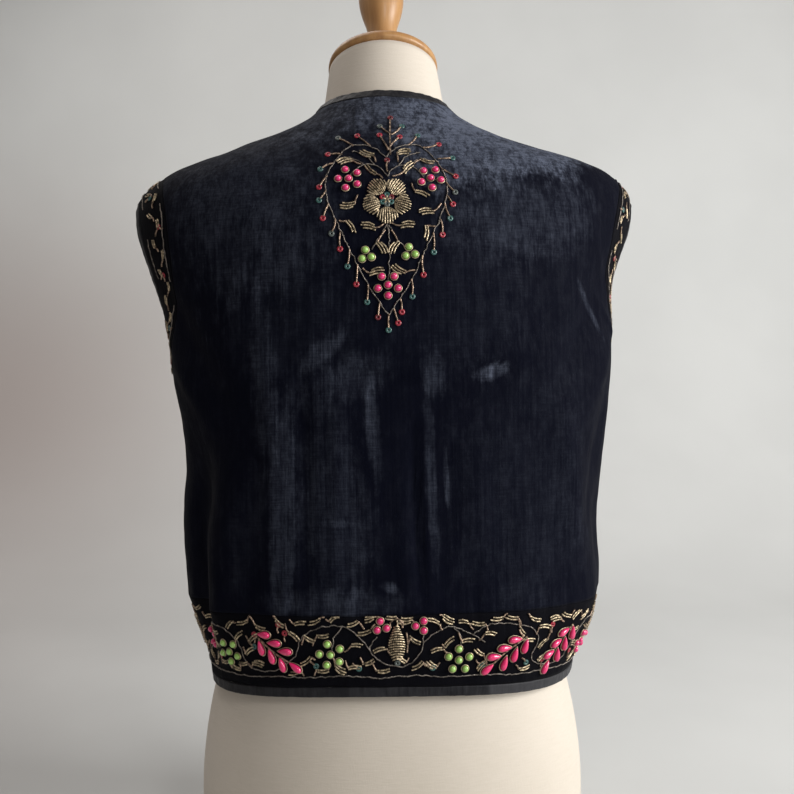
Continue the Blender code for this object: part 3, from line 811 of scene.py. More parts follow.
def mesh_from(bm):
    mesh = bpy.data.meshes.new("draft")
    bm.to_mesh(mesh)
    bm.free()
    return mesh


def merged_copy(node):
    bm = bmesh.new()
    bm.from_mesh(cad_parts[node].data)
    bmesh.ops.remove_doubles(bm, verts=bm.verts, dist=MERGE)
    return bm


def join_quads(bm):
    bmesh.ops.join_triangles(
        bm,
        faces=bm.faces,
        angle_face_threshold=ALL_ANGLES,
        angle_shape_threshold=ALL_ANGLES,
        topology_influence=TIDY_GRID,
    )


def tree_of(mesh):
    bm = bmesh.new()
    bm.from_mesh(mesh)
    tree = BVHTree.FromBMesh(bm)
    bm.free()
    return tree


def subdivided(mesh, levels):
    """The mesh after Subdivision Surface, which rounds it but keeps its corners."""
    draft = bpy.data.objects.new("draft", mesh)
    bpy.context.scene.collection.objects.link(draft)
    smooth = draft.modifiers.new("Smooth", "SUBSURF")
    smooth.levels = smooth.render_levels = levels
    smooth.boundary_smooth = "PRESERVE_CORNERS"
    depsgraph = bpy.context.evaluated_depsgraph_get()
    done = bpy.data.meshes.new_from_object(draft.evaluated_get(depsgraph))
    bpy.data.objects.remove(draft)
    return done


def settle(bm, outer):
    """Puts each face on the side that most of the faces level with it are on."""
    for _ in range(SETTLING_ROUNDS):
        for face in bm.faces:
            beside = [other for edge in face.edges for other in edge.link_faces if other != face]
            level = [other in outer for other in beside if other.normal.dot(face.normal) > SAME_SIDE]
            if 2 * sum(level) > len(level):
                outer.add(face)
            elif 2 * sum(level) < len(level):
                outer.discard(face)


def outer_side(node, levels):
    """The outer side of a cloth wall as a smooth open sheet."""
    form = tree_of(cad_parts["form_torso"].data)
    bm = merged_copy(node)
    outer = set()
    for face in bm.faces:
        middle = face.calc_center_median()
        away = (middle - form.find_nearest(middle)[0]).normalized()
        if face.normal.dot(away) >= FACING_OUT:
            outer.add(face)
    settle(bm, outer)
    bmesh.ops.delete(bm, geom=[face for face in bm.faces if face not in outer], context="FACES")
    join_quads(bm)
    return subdivided(mesh_from(bm), levels)


def displace(mesh, height_at):
    """Moves each vertex along its normal by the height at its place."""
    places = np.empty(len(mesh.vertices) * 3)
    normals = np.empty_like(places)
    mesh.vertices.foreach_get("co", places)
    mesh.vertices.foreach_get("normal", normals)
    heights = np.repeat(height_at(places.reshape(-1, 3)), 3)
    mesh.vertices.foreach_set("co", places + normals * heights)
    mesh.update()


def gathers():
    """Short uneven ripples above the hem bands' seam."""
    draw = Random(GATHER_SEED)
    for k in range(GATHERS):
        angle = -172 + 344 * (k + draw.uniform(-0.35, 0.35)) / (GATHERS - 1)
        top = GATHER_SEAM + draw.uniform(0.010, 0.034)
        depth = draw.uniform(0.0004, 0.0011) * draw.choice((-1, 1))
        foot = angle + draw.uniform(-3, 3)
        yield Crease(angle, top, foot, GATHER_SEAM - 0.012, draw.uniform(0.003, 0.006), depth)


def crease_height(places):
    """How far the creases lift or sink the cloth at each place."""
    round_body = np.arctan2(places[:, 0] - BODY_AXIS.x, places[:, 1] - BODY_AXIS.y) * ROUND
    level = places[:, 2]
    total = np.zeros(len(places))
    for crease in (*CREASES, *gathers()):
        start = radians(crease.start_angle) * ROUND
        run = radians(crease.end_angle) * ROUND - start
        drop = crease.end_height - crease.start_height
        along = (round_body - start) * run + (level - crease.start_height) * drop
        along = np.clip(along / (run * run + drop * drop), 0, 1)
        away = np.hypot(round_body - start - along * run, level - crease.start_height - along * drop)
        total += crease.depth * np.exp(-((away / crease.half_width) ** 2)) * np.sin(pi * along) ** CREASE_FADE
    return total


def soft_height(places, scale):
    """Gentle unevenness between -1 and 1."""
    spots = [Vector(place) * scale for place in places]
    return np.array([noise.noise(spot) + 0.5 * noise.noise(spot * 2.3) for spot in spots])


def thickened(piece, thickness, rounding=0.0):
    wall = piece.modifiers.new("Thickness", "SOLIDIFY")
    wall.thickness = thickness
    wall.offset = -1
    if rounding:
        edge = piece.modifiers.new("Rounded edges", "BEVEL")
        edge.width = rounding
        edge.segments = 3
        edge.limit_method = "ANGLE"
        edge.angle_limit = radians(50)


def sew(mesh, band):
    """Tucks the panel's top row in under the band's edge, so that no gap shows between them."""
    tree = tree_of(band)
    bm = bmesh.new()
    bm.from_mesh(mesh)
    for vert in bm.verts:
        point, normal, _, gap = tree.find_nearest(vert.co)
        across = (point - vert.co).cross(normal).cross(normal) * -1
        near = vert.is_boundary and vert.co.z > TOP_ROW and gap < SEAM_REACH
        if near and across.length > SEAM_GAP:
            vert.co = point + across.normalized() * SEAM_TUCK - normal * SEAM_DEPTH
    bm.to_mesh(mesh)
    bm.free()


# ---------------------------------------------------------------- grounds


class BackGround:
    """The back panel, seen straight on: right and up from a point near the centre of the back."""

    def __init__(self, tree, across, height):
        self.tree = tree
        self.across = across
        self.height = height

    def place(self, right, up):
        start = Vector((BODY_AXIS.x - self.across - right * MM, 1.0, self.height + up * MM))
        point, normal, _, _ = self.tree.ray_cast(start, Vector((0, -1, 0)))
        return point, normal, Vector((-1, 0, 0))


class BandGround:
    """A band of cloth between two edges: along its middle from its start, and up from its low edge."""

    def __init__(self, meshes, turn_of, is_low, direction):
        self.tree = tree_of(joined(meshes))
        low, high = [], []
        for mesh in meshes:
            for a, b in edge_lines(mesh):
                if abs(turn_of(b) - turn_of(a)) > UPRIGHT:
                    (low if is_low(a) else high).append((turn_of(a), a))
        self.low, self.high = (sorted(edge, key=lambda pair: pair[0]) for edge in (low, high))
        self.turns = [direction * radians(k - 180) for k in range(361)]
        middles = [self.at(self.low, t).lerp(self.at(self.high, t), 0.5) for t in self.turns]
        self.lengths = [0.0]
        for a, b in zip(middles, middles[1:]):
            self.lengths.append(self.lengths[-1] + (b - a).length)

        self.length = self.lengths[-1] / MM
        self.start = float(np.interp(180, range(361), self.lengths)) / MM

    @staticmethod
    def at(edge, turn):
        turn = (turn + pi) % (2 * pi) - pi
        turns = [t for t, _ in edge]
        k = int(np.searchsorted(turns, turn))
        before, after = edge[(k - 1) % len(edge)], edge[k % len(edge)]
        span = (after[0] - before[0]) % (2 * pi)
        share = ((turn - before[0]) % (2 * pi)) / span if span > 1e-9 else 0.0
        return before[1].lerp(after[1], share)

    def middle_turn(self, along):
        return float(np.interp((along + self.start) * MM, self.lengths, self.turns))

    def width(self, along):
        turn = self.middle_turn(along)
        return (self.at(self.high, turn) - self.at(self.low, turn)).length / MM

    def place(self, along, up):
        turn = self.middle_turn(along)
        low, high = self.at(self.low, turn), self.at(self.high, turn)
        point, normal, _, _ = self.tree.find_nearest(low.lerp(high, up * MM / (high - low).length))
        ahead = self.middle_turn(along + 1.0)
        onward = self.at(self.low, ahead).lerp(self.at(self.high, ahead), 0.5) - low.lerp(high, 0.5)
        return point, normal, onward


def joined(meshes):
    bm = bmesh.new()
    for mesh in meshes:
        bm.from_mesh(mesh)
    return mesh_from(bm)


def edge_lines(mesh):
    """The ends of each edge that has cloth on one side only."""
    bm = bmesh.new()
    bm.from_mesh(mesh)
    lines = [(e.verts[0].co.copy(), e.verts[1].co.copy()) for e in bm.edges if e.is_boundary]
    bm.free()
    return lines


def ground_matrix(ground, right, up, turn=0.0, lift=0.0):
    """A place on the ground as a matrix: X along the turn, Z out of the cloth."""
    point, normal, onward = ground.place(right, up)
    x = (onward - normal * onward.dot(normal)).normalized()
    y = normal.cross(x)
    matrix = Matrix((x, y, normal)).transposed().to_4x4()
    matrix.translation = point + normal * lift
    return matrix @ Matrix.Rotation(radians(turn), 4, "Z")


def heading(turn):
    """The way that a turn in degrees points, on the flat design."""
    return Vector((cos(radians(turn)), sin(radians(turn))))


def smooth_line(points, step):
    """A smooth line through the points, cut into steps of about this length."""
    points = [Vector(point) for point in points]
    done = []
    for k in range(len(points) - 1):
        before, start = points[max(0, k - 1)], points[k]
        end, after = points[k + 1], points[min(len(points) - 1, k + 2)]
        cuts = max(1, ceil((end - start).length / step))
        for j in range(cuts):
            t = j / cuts
            pull = (end - before) * (t * (1 - t) ** 2) - (after - start) * (t * t * (1 - t))
            done.append(start * (1 + 2 * t) * (1 - t) ** 2 + end * t * t * (3 - 2 * t) + pull * 0.5)
    done.append(points[-1])
    return done


# ---------------------------------------------------------------- beads


def ring(radius, thickness, flat, segments, sides):
    """A ring round the Z axis, resting on the cloth."""
    bm = bmesh.new()
    bmesh.ops.create_circle(bm, segments=sides, radius=thickness)
    bmesh.ops.rotate(bm, verts=bm.verts, cent=(0, 0, 0), matrix=Matrix.Rotation(pi / 2, 3, "X"))
    bmesh.ops.translate(bm, verts=bm.verts, vec=(radius, 0, 0))
    parts = bm.edges[:] + bm.verts[:]
    bmesh.ops.spin(
        bm, geom=parts, cent=(0, 0, 0), axis=(0, 0, 1), angle=2 * pi, steps=segments, use_merge=True
    )
    bmesh.ops.scale(bm, verts=bm.verts, vec=(1, 1, flat))
    bmesh.ops.translate(bm, verts=bm.verts, vec=(0, 0, thickness * flat))
    bmesh.ops.recalc_face_normals(bm, faces=bm.faces)
    return bm


def ball(radius, flat, columns, rows):
    bm = bmesh.new()
    bmesh.ops.create_uvsphere(bm, u_segments=columns, v_segments=rows, radius=radius)
    bmesh.ops.scale(bm, verts=bm.verts, vec=(1, 1, flat))
    bmesh.ops.translate(bm, verts=bm.verts, vec=(0, 0, radius * flat * 0.8))
    return bm


def as_drop(bm, length, width):
    """Draws a round bead or ring out into a drop whose point is at -X."""
    reach = max(v.co.x for v in bm.verts)
    for v in bm.verts:
        share = max(0.0, v.co.x / reach + 1) / 2
        v.co.y *= width / length * (0.30 + 1.02 * share ** 0.8 - 0.22 * share**4)
        v.co.z *= 0.55 + 0.45 * share
    bmesh.ops.scale(bm, verts=bm.verts, vec=(length / 2 / reach, length / 2 / reach, 1))
    return bm


def bead_shapes():
    """Each kind of bead as a small mesh and its finish."""
    bead, thread = bpy.context.scene.w_bead, bpy.context.scene.w_thread
    radius, length = bead.pearl_radius, bead.drop_length
    wire = thread.purl_radius * 0.60
    sequin = mesh_from(ring(bead.sequin_radius * 0.60, bead.sequin_radius * 0.40, 0.45, 12, 6))
    pearl = mesh_from(ball(radius, 0.85, 16, 10))
    shapes = {
        "pink_pearl": (pearl, "pink_pearl"),
        "green_pearl": (pearl, "green_pearl"),
        "pearl_rim": (mesh_from(ring(radius + wire * 1.05, wire, 1.0, 18, 6)), "gilt_wire"),
        "drop": (mesh_from(as_drop(ball(0.0030, 0.95, 16, 10), length, 0.0058)), "magenta_drop"),
        "drop_rim": (mesh_from(as_drop(ring(0.0040, wire, 1.0, 22, 5), length * 1.15, 0.0078)), "gilt_wire"),
    }
    for colour in ("red_sequin", "teal_sequin", "grey_sequin", "dark_sequin"):
        shapes[colour] = (sequin, colour)
    return shapes


# ---------------------------------------------------------------- embroidery


class Embroidery:
    """The work on one ground, kept by finish until it is joined into pieces."""

    def __init__(self, area, ground, slot):
        self.area, self.ground, self.slot = area, ground, slot
        self.strands = defaultdict(list)
        self.cords = []
        self.beads = defaultdict(list)
        self.draw = Random(area)
        self.thread = bpy.context.scene.w_thread

    def on_cloth(self, point, lift):
        place, normal, _ = self.ground.place(*point)
        return place + normal * lift

    def strand(self, points, finish="gold_purl", step=2.6, arch=0.0, thick=1.0):
        """One strand of purl through flat points, which may arch up between its ends."""
        line = smooth_line(points, step)
        last = len(line) - 1
        radius = self.thread.purl_radius * thick
        lifts = [radius * 0.85 + arch * sin(pi * k / last) * MM for k in range(last + 1)]
        self.strands[finish, thick].append([self.on_cloth(point, lift) for point, lift in zip(line, lifts)])

    @staticmethod
    def wavered(point):
        """The point moved a little, as stitches pull a couched cord from side to side."""
        wide = noise.noise_vector((point.x * 0.22, point.y * 0.22, 0.5))
        shift = wide + noise.noise_vector((point.x, point.y, 2.5)) * 0.3
        return point + Vector((shift.x, shift.y)) * 1.1

    def cord(self, points):
        """Couched cord: two plies that twist round each other."""
        radius, pitch = self.thread.ply_radius, self.thread.cord_pitch
        flat = [self.wavered(point) for point in smooth_line(points, pitch / MM / 5)]
        line = []
        for point in flat:
            place, normal, _ = self.ground.place(*point)
            line.append((place, normal))
        plies = [[], []]
        travelled = 0.0
        for k, (place, normal) in enumerate(line):
            before, after = line[max(0, k - 1)][0], line[min(len(line) - 1, k + 1)][0]
            travelled += (place - before).length
            side = normal.cross(after - before).normalized()
            for ply in (0, 1):
                turn = 2 * pi * travelled / pitch + pi * ply
                offset = normal * (cos(turn) + 1.9) + side * sin(turn)
                plies[ply].append(place + offset * radius)
        self.cords += plies

    def bead(self, kind, x, y, turn=0.0, lift=0.0):
        self.beads[kind].append(ground_matrix(self.ground, x, y, turn, lift))

    def pearl(self, kind, x, y):
        self.bead(kind, x, y, self.draw.uniform(0, 360))
        self.bead("pearl_rim", x, y, lift=RIM_LIFT)

    def leaf(self, x, y, turn, strands=3, bend=1, root=None, size=12.0):
        """Curved strands side by side, on a stem that bends in from its root."""
        along = heading(turn)
        aside = Vector((-along.y, along.x))
        middle = Vector((x, y))
        gap = 2.75 * self.thread.purl_radius / MM
        for k in range(strands):
            shift = (k - (strands - 1) / 2) * gap
            reach = size / 2 * (1.0 if k % 2 else 0.84)
            slide = along * (shift * 0.45 * bend + self.draw.uniform(-0.4, 0.4))
            centre = middle + slide + aside * shift
            ends = [centre - along * reach, centre + along * reach]
            crown = middle + slide + aside * (shift * 1.15 + bend * size * 0.08)
            self.strand([ends[0], crown, ends[1]], "gold_purl", 2.2)
        if root is not None:
            foot = middle - along * size * 0.46
            start = Vector(root)
            knee = start.lerp(foot, 0.5) + aside * bend * -1.0
            self.strand([start, knee, foot], "bronze_purl")

    def ray(self, ray):
        """A short strand that leaves the outline and ends in a sequin."""
        out = heading(ray.turn)
        aside = Vector((-out.y, out.x)) * self.draw.uniform(-1.2, 1.2)
        root = Vector((ray.x, ray.y))
        self.strand([root, root + out * ray.length * 0.5 + aside, root + out * ray.length], "bronze_purl")
        tip = root + out * (ray.length + 1.6)
        self.bead(ray.sequin, tip.x, tip.y)

    def pearl_ring(self, kind, x, y, turn, count, radius):
        for k in range(count):
            angle = radians(turn + 90 + 360 * k / count)
            self.pearl(kind, x + radius * cos(angle), y + radius * sin(angle))

    def pearl_flower(self, kind, x, y, turn, radius=8.3):
        self.pearl(kind, x, y)
        self.pearl_ring(kind, x, y, turn, 5, radius)

    def pearl_cluster(self, kind, x, y, turn):
        self.pearl_ring(kind, x, y, turn, 3, 4.3)

    def gilt_flower(self):
        """Five rounded petals of strands laid side by side round a dark eye."""
        for petal in range(5):
            turn = Matrix.Rotation(radians(36 + 72 * petal), 2)
            for k in range(9):
                aside = (k - 4) * 2.02
                inner = 6.2 + 0.16 * (k - 4) ** 2
                outer = 19.8 - 0.32 * (k - 4) ** 2 + self.draw.uniform(-0.4, 0.4)
                line = ((aside * 0.66, inner), (aside * 0.92, (inner + outer) / 2), (aside, outer))
                self.strand([turn @ Vector(point) for point in line], "gold_purl", 3.0, 1.2, THICK)
        for k, colour in enumerate(("red", "teal", "grey", "teal", "dark", "teal")):
            angle = radians(150 + 60 * k)
            self.bead(f"{colour}_sequin", 3.9 * cos(angle), 3.9 * sin(angle), lift=0.0003)
        for k in range(5):
            out = heading(20 + 72 * k)
            self.strand([out * 0.6, out * 3.4], "gold_purl", 2.0, 0.6)

    def cone(self, x, y, turn=0.0):
        """A pine cone of bowed strands, one above another, with a leaf at its tip."""
        spin = Matrix.Rotation(radians(turn), 2)
        middle = Vector((x, y))

        def at(across, up):
            return middle + spin @ Vector((across, up))

        rows = 14
        for k in range(rows):
            share = k / (rows - 1)
            half = 1.4 + 5.3 * sin(pi * (0.10 + 0.86 * share)) * (1.12 - 0.35 * share)
            up = -13.0 + 25.5 * share
            line = [at(-half, up - 0.9), at(-half * 0.3, up + 0.6)]
            line += [at(half * 0.5, up + 0.5), at(half, up - 0.5)]
            self.strand(line, "gold_purl", 2.4, 1.7, THICK)
        for side in (-1, 1):
            self.strand([at(side * 4.4, 11.5), at(side * 4.9, 15.5), at(side * 1.4, 18.6)], "bronze_purl")
        self.strand([at(0.4, 12.5), at(1.0, 15.5), at(0.2, 17.5)], "gold_purl")
        self.strand([at(8.0, -8.0), at(8.6, 0), at(7.6, 8.0)], "bronze_purl")
        drop = at(0.3, -16.2)
        self.bead("grey_sequin", drop.x, drop.y)

    def sprig(self, x, y, turn):
        """Seven drop pearls up a slanting stem, in pairs, with one at its tip."""
        along = heading(turn)
        aside = Vector((-along.y, along.x))
        middle = Vector((x, y))
        self.strand([middle - along * 21, middle - aside * 1.5, middle + along * 17], "bronze_purl")
        places = [(along * 20.5, turn)]
        for k in range(3):
            for side in (-1, 1):
                back = 10.5 - 11.0 * k - (side > 0) * 4.0
                places.append((along * back + aside * side * 5.2, turn + side * 36))
        for shift, angle in places:
            spot = middle + shift
            self.bead("drop", spot.x, spot.y, angle)
            self.bead("drop_rim", spot.x, spot.y, angle, RIM_LIFT)

    def figure(self, figure):
        x, y, turn = figure.across, figure.up, figure.turn
        if figure.kind == "cone":
            self.cone(x, y, turn)
        elif figure.kind == "sprig":
            self.sprig(x, y, turn)
        elif figure.kind == "pink_cluster":
            self.pearl_cluster("pink_pearl", x, y, turn)
        else:
            self.pearl_flower(figure.kind.replace("flower", "pearl"), x, y, turn, radius=8.8)

    def pieces(self):
        """Joins everything of one finish into one piece."""
        for (finish, thick), lines in self.strands.items():
            name = finish if thick == 1 else f"thick_{finish}"
            self.add(name, tubes(lines, self.thread.purl_radius * thick, 1), finish)
        if self.cords:
            self.add("silver_cord", tubes(self.cords, self.thread.ply_radius, 0), "silver_cord")
        shapes = bead_shapes()
        for kind, matrices in self.beads.items():
            shape, finish = shapes[kind]
            bm = bmesh.new()
            for matrix in matrices:
                copy = shape.copy()
                copy.transform(matrix)
                bm.from_mesh(copy)
                bpy.data.meshes.remove(copy)
            self.add(f"{kind}s", mesh_from(bm), finish)

    def add(self, name, mesh, finish):
        add_piece(f"{self.area}_{name}", mesh, finish, self.slot)


def tubes(lines, radius, resolution):
    """Thin round strands along the lines, as one mesh."""
    curve = bpy.data.curves.new("draft", "CURVE")
    curve.dimensions = "3D"
    curve.bevel_depth = radius
    curve.bevel_resolution = resolution
    curve.use_fill_caps = True
    for line in lines:
        spline = curve.splines.new("POLY")
        spline.points.add(len(line) - 1)
        spline.points.foreach_set("co", [value for point in line for value in (*point, 1.0)])
    draft = bpy.data.objects.new("draft", curve)
    mesh = bpy.data.meshes.new_from_object(draft)
    bpy.data.objects.remove(draft)
    return mesh


def border_leaves(work):
    """Fills the ground between the border's figures with leaves, clear of the vines."""
    draw = Random(BORDER_SEED)
    taken = [(Vector((f.across, f.up)), ROOM[f.kind]) for f in BORDER_FIGURES]
    vine_points = [point for vine in VINES for point in smooth_line(vine, 4.0)]
    for _ in range(LEAF_TRIES):
        spot = Vector((draw.uniform(*BORDER_ENDS), draw.uniform(LEAVES_LOW, LEAVES_HIGH)))
        if any((spot - other).length < room for other, room in taken):
            continue
        if min((point - spot).length for point in vine_points) < VINE_ROOM:
            continue
        taken.append((spot, LEAF_ROOM))
        turn = draw.choice((0, 180)) + draw.uniform(-48, 48)
        strands = draw.choice((2, 2, 2, 3))
        back = heading(turn) * draw.uniform(7.0, 9.5)
        root = spot - back + Vector((0, draw.choice((-1, 1)) * draw.uniform(4, 8)))
        root.y = min(max(root.y, LEAVES_LOW - 3), LEAVES_HIGH + 3)
        work.leaf(spot.x, spot.y, turn, strands, draw.choice((-1, 1)), root, draw.uniform(8.5, 11.5))


def armhole_sprays(work, ground, half):
    """Couched cords that come and go along the band, and small sprays of leaves and sequins between them."""
    draw = Random(SPRAY_SEED)
    for share, run, gap in ((0.10, 58, 16), (ARMHOLE_SHARE, 38, 30)):
        start = -half + draw.uniform(0, gap)
        while start < half - run:
            steps = [start + run * k / 12 for k in range(13)]
            work.cord([(x, 1.2 + ground.width(x) * share + 1.1 * sin(x * 0.10)) for x in steps])
            start += run + gap * draw.uniform(0.6, 1.4)
    count = round(2 * half / SPRAY_STEP)
    for k in range(count):
        x = -half + 2 * half * (k + 0.5) / count
        width = ground.width(x) * ARMHOLE_SHARE
        lean = 1 if k % 2 else -1
        y = width * (0.54 + 0.17 * lean) + draw.uniform(-0.6, 0.6)
        root = (x - 8.0, min(max(y - 4.5 * lean, 3.0), width - 2.0))
        work.leaf(x, y, 20 * lean + draw.uniform(-22, 22), 2, lean, root, min(7.5, width * 0.5))
        if k % 3 == 0:
            kind = ("red_sequin", "red_sequin", "teal_sequin")[k // 3 % 3]
            work.ray(Ray(x + 6, width * (0.5 - 0.34 * lean), 90 * lean + draw.uniform(-35, 35), 5.0, kind))


# ---------------------------------------------------------------- operators

shells = {}


def add_cloth(cloth, settings, puckered):
    mesh = outer_side(cloth.node, cloth.levels)
    displace(mesh, crease_height)
    for side in SEWN.get(cloth.node, ()):
        sew(mesh, shells[f"armhole_band_{side}"])
    scale, height = (190, settings.pucker) if puckered else (26, settings.softness)
    displace(mesh, lambda places: soft_height(places, scale) * height)
    shells[cloth.node] = mesh.copy()
    piece = add_piece(f"{cloth.node}_cloth", mesh, cloth.finish, cloth.slot)
    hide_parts(cloth.node)
    return piece


class WAISTCOAT_OT_form(Operator):
    """Linen on the form and turned wood on its neck"""

    bl_idname = "waistcoat.form"
    bl_label = "Dress form"

    def execute(self, context):
        for node, levels, slot, finish in SMOOTHED:
            bm = merged_copy(node)
            ends = [face for face in bm.faces if abs(face.normal.z) > LEVEL_FACE and node == "form_torso"]
            bmesh.ops.delete(bm, geom=ends, context="FACES")
            join_quads(bm)
            done = bmesh.new()
            done.from_mesh(subdivided(mesh_from(bm), levels))
            bmesh.ops.holes_fill(done, edges=done.edges, sides=0)
            bmesh.ops.recalc_face_normals(done, faces=done.faces)
            piece = add_piece(f"{node}_smooth", mesh_from(done), finish, slot)
            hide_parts(node)
        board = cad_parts["form_base_board"]
        board.data.materials.clear()
        board.data.materials.append(finish_called("varnished_wood"))
        return {"FINISHED"}


class WAISTCOAT_OT_cloth(Operator):
    """Velvet panels and bands with their creases"""

    bl_idname = "waistcoat.cloth"
    bl_label = "Velvet"

    def execute(self, context):
        settings = context.scene.w_cloth
        for cloth in CLOTHS:
            piece = add_cloth(cloth, settings, False)
            thickened(piece, settings.thickness)
        return {"FINISHED"}


class WAISTCOAT_OT_bindings(Operator):
    """Satin bindings with rounded, puckered edges"""

    bl_idname = "waistcoat.bindings"
    bl_label = "Bindings"

    def execute(self, context):
        settings = context.scene.w_cloth
        for cloth in BINDINGS:
            piece = add_cloth(cloth, settings, True)
            thickened(piece, settings.binding_thickness, settings.binding_thickness * 0.4)
        return {"FINISHED"}


class WAISTCOAT_OT_heart(Operator):
    """The embroidered heart between the shoulders"""

    bl_idname = "waistcoat.heart"
    bl_label = "Heart"

    def execute(self, context):
        ground = BackGround(tree_of(shells["back_panel"]), HEART_ACROSS, HEART_CENTRE)
        work = Embroidery("heart", ground, "velvet")
        mirrored = [(-x, y) for x, y in reversed(HEART_SIDE)]
        work.cord(HEART_SIDE)
        work.cord(mirrored)
        for scroll in HEART_SCROLLS:
            work.cord(scroll)
            work.cord([(-x + 1, y - 1) for x, y in scroll])
        work.cord(HEART_STEM)
        for leaf in HEART_LEAVES:
            work.leaf(leaf.x, leaf.y, leaf.turn, leaf.strands, leaf.bend, (leaf.root_x, leaf.root_y))
        for ray in HEART_RAYS:
            work.ray(ray)
        for x, y, turn in PINK_FLOWERS:
            work.pearl_flower("pink_pearl", x, y, turn)
        for x, y in GREEN_CLUSTERS:
            work.pearl_cluster("green_pearl", x, y, 10)
        work.gilt_flower()
        work.pieces()
        return {"FINISHED"}


class WAISTCOAT_OT_border(Operator):
    """The embroidered border round the hem"""

    bl_idname = "waistcoat.border"
    bl_label = "Hem border"

    def execute(self, context):
        meshes = [shells[node] for node in ("hem_band_back", "hem_band_left", "hem_band_right")]
        binding = tree_of(shells["hem_binding"])

        def turn_of(point):
            return atan2(point.x - BODY_AXIS.x, point.y - BODY_AXIS.y)

        band = BandGround(meshes, turn_of, lambda point: binding.find_nearest(point)[3] < BESIDE, -1)
        ground = Raised(band, CORD_ABOVE_SEAM)
        work = Embroidery("hem", ground, "border_velvet")
        first, last = BORDER_ENDS
        work.cord([(x, 0.6 * sin(x * 0.11)) for x in range(first, last, 6)])
        for vine in VINES:
            work.cord(vine)
        for figure in BORDER_FIGURES:
            work.figure(figure)
        for x, y in BORDER_SEQUINS:
            work.ray(Ray(x, y - 7, 90, 5, "red_sequin"))
        for x, y in LOW_DROPS:
            work.ray(Ray(x - 4, y + 5, -40, 5, "teal_sequin"))
        border_leaves(work)
        work.pieces()
        return {"FINISHED"}


class Raised:
    """A band's ground, measured from a line above its low edge."""

    def __init__(self, ground, height):
        self.ground, self.height = ground, height

    def place(self, along, up):
        return self.ground.place(along, up + self.height)


class WAISTCOAT_OT_armholes(Operator):
    """The embroidered bands round the armholes"""

    bl_idname = "waistcoat.armholes"
    bl_label = "Armhole bands"

    def execute(self, context):
        for word, direction in (("left", 1), ("right", -1)):
            binding = tree_of(shells[f"armhole_binding_{word}"])
            low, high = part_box(f"armhole_binding_{word}")
            middle = (low + high) / 2

            def turn_of(point):
                return atan2(point.z - middle.z, point.y - middle.y)

            ground = BandGround(
                [shells[f"armhole_band_{word}"]],
                turn_of,
                lambda point: binding.find_nearest(point)[3] > BESIDE,
                direction,
            )
            work = Embroidery(f"armhole_{word}", ground, "border_velvet")
            half = ground.length / 2
            armhole_sprays(work, ground, half)
            work.pieces()
        return {"FINISHED"}


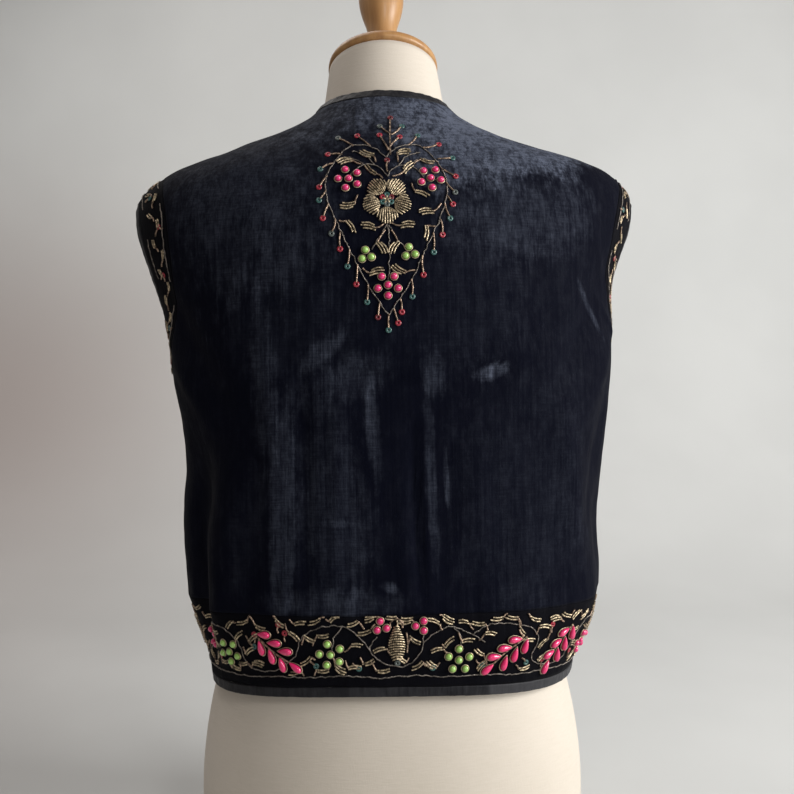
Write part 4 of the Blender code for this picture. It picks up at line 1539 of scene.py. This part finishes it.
class WAISTCOAT_OT_stage(Operator):
    """Floor and wall, soft lights and the camera"""

    bl_idname = "waistcoat.stage"
    bl_label = "Stage"

    def execute(self, context):
        settings = context.scene.w_stage
        bm = bmesh.new()
        near, corner, top = (bm.verts.new(place) for place in ((-4, 4, 0), (-4, -1.6, 0), (-4, -1.6, 3.2)))
        bm.edges.new((near, corner))
        bm.edges.new((corner, top))
        bmesh.ops.bevel(
            bm, geom=[corner], offset=0.8, segments=14, profile=0.5, affect="VERTICES", material=-1
        )
        made = bmesh.ops.extrude_edge_only(bm, edges=bm.edges[:])
        moved = [part for part in made["geom"] if isinstance(part, bmesh.types.BMVert)]
        bmesh.ops.translate(bm, verts=moved, vec=(8, 0, 0))
        bmesh.ops.recalc_face_normals(bm, faces=bm.faces)
        if bm.faces[0].normal.z < 0:
            bmesh.ops.reverse_faces(bm, faces=bm.faces)
        mesh = mesh_from(bm)
        mesh.materials.append(painted_wall("wall", settings.wall))
        mesh.shade_smooth()
        sweep = bpy.data.objects.new("sweep", mesh)
        context.scene.collection.objects.link(sweep)

        for light in LIGHTS:
            add_light(*light)
        world = bpy.data.worlds.new("room")
        world.use_nodes = True
        background = world.node_tree.nodes["Background"]
        background.inputs["Color"].default_value = ROOM_COLOUR
        background.inputs["Strength"].default_value = ROOM_STRENGTH
        context.scene.world = world
        context.scene.view_settings.view_transform = "Standard"

        camera = bpy.data.objects.new("camera", bpy.data.cameras.new("camera"))
        camera.data.lens = settings.focal_length
        camera.data.sensor_width = 36
        away = Vector((sin(settings.turn), cos(settings.turn), 0))
        camera.location = BODY_AXIS + away * settings.distance + Vector((0, 0, settings.camera_height))
        heading = atan2(away.x, -away.y) - settings.pan
        turn = Matrix.Rotation(heading, 3, "Z") @ Matrix.Rotation(pi / 2, 3, "X")
        camera.rotation_euler = (turn @ Matrix.Rotation(settings.roll, 3, "Z")).to_euler()
        context.scene.collection.objects.link(camera)
        context.scene.camera = camera
        return {"FINISHED"}


def add_light(name, place, size, power, colour):
    """A square soft light that faces the middle of the object."""
    light = bpy.data.lights.new(name, "AREA")
    light.size = size
    light.energy = power
    light.color = colour
    lamp = bpy.data.objects.new(name, light)
    lamp.location = place
    lamp.rotation_euler = (LIT_PLACE - lamp.location).to_track_quat("-Z", "Y").to_euler()
    bpy.context.scene.collection.objects.link(lamp)


OPERATORS = (
    WAISTCOAT_OT_stage,
    WAISTCOAT_OT_form,
    WAISTCOAT_OT_cloth,
    WAISTCOAT_OT_bindings,
    WAISTCOAT_OT_heart,
    WAISTCOAT_OT_border,
    WAISTCOAT_OT_armholes,
)
SETTINGS = {
    "w_cloth": ClothSettings,
    "w_thread": ThreadSettings,
    "w_bead": BeadSettings,
    "w_stage": StageSettings,
}


class WAISTCOAT_PT_panel(Panel):
    bl_label = "Waistcoat"
    bl_space_type = "VIEW_3D"
    bl_region_type = "UI"
    bl_category = "Waistcoat"

    def draw(self, context):
        for key, group in SETTINGS.items():
            for name in group.__annotations__:
                self.layout.prop(getattr(context.scene, key), name)
        for operator in OPERATORS:
            self.layout.operator(operator.bl_idname)


def register():
    for group in (*SETTINGS.values(), *OPERATORS, WAISTCOAT_PT_panel):
        bpy.utils.register_class(group)
    for key, group in SETTINGS.items():
        setattr(bpy.types.Scene, key, PointerProperty(type=group))


def unregister():
    for key in SETTINGS:
        delattr(bpy.types.Scene, key)
    for group in reversed((*SETTINGS.values(), *OPERATORS, WAISTCOAT_PT_panel)):
        bpy.utils.unregister_class(group)


def main():
    register()
    for operator in OPERATORS:
        family, name = operator.bl_idname.split(".")
        getattr(getattr(bpy.ops, family), name)()


if __name__ == "__main__":
    main()
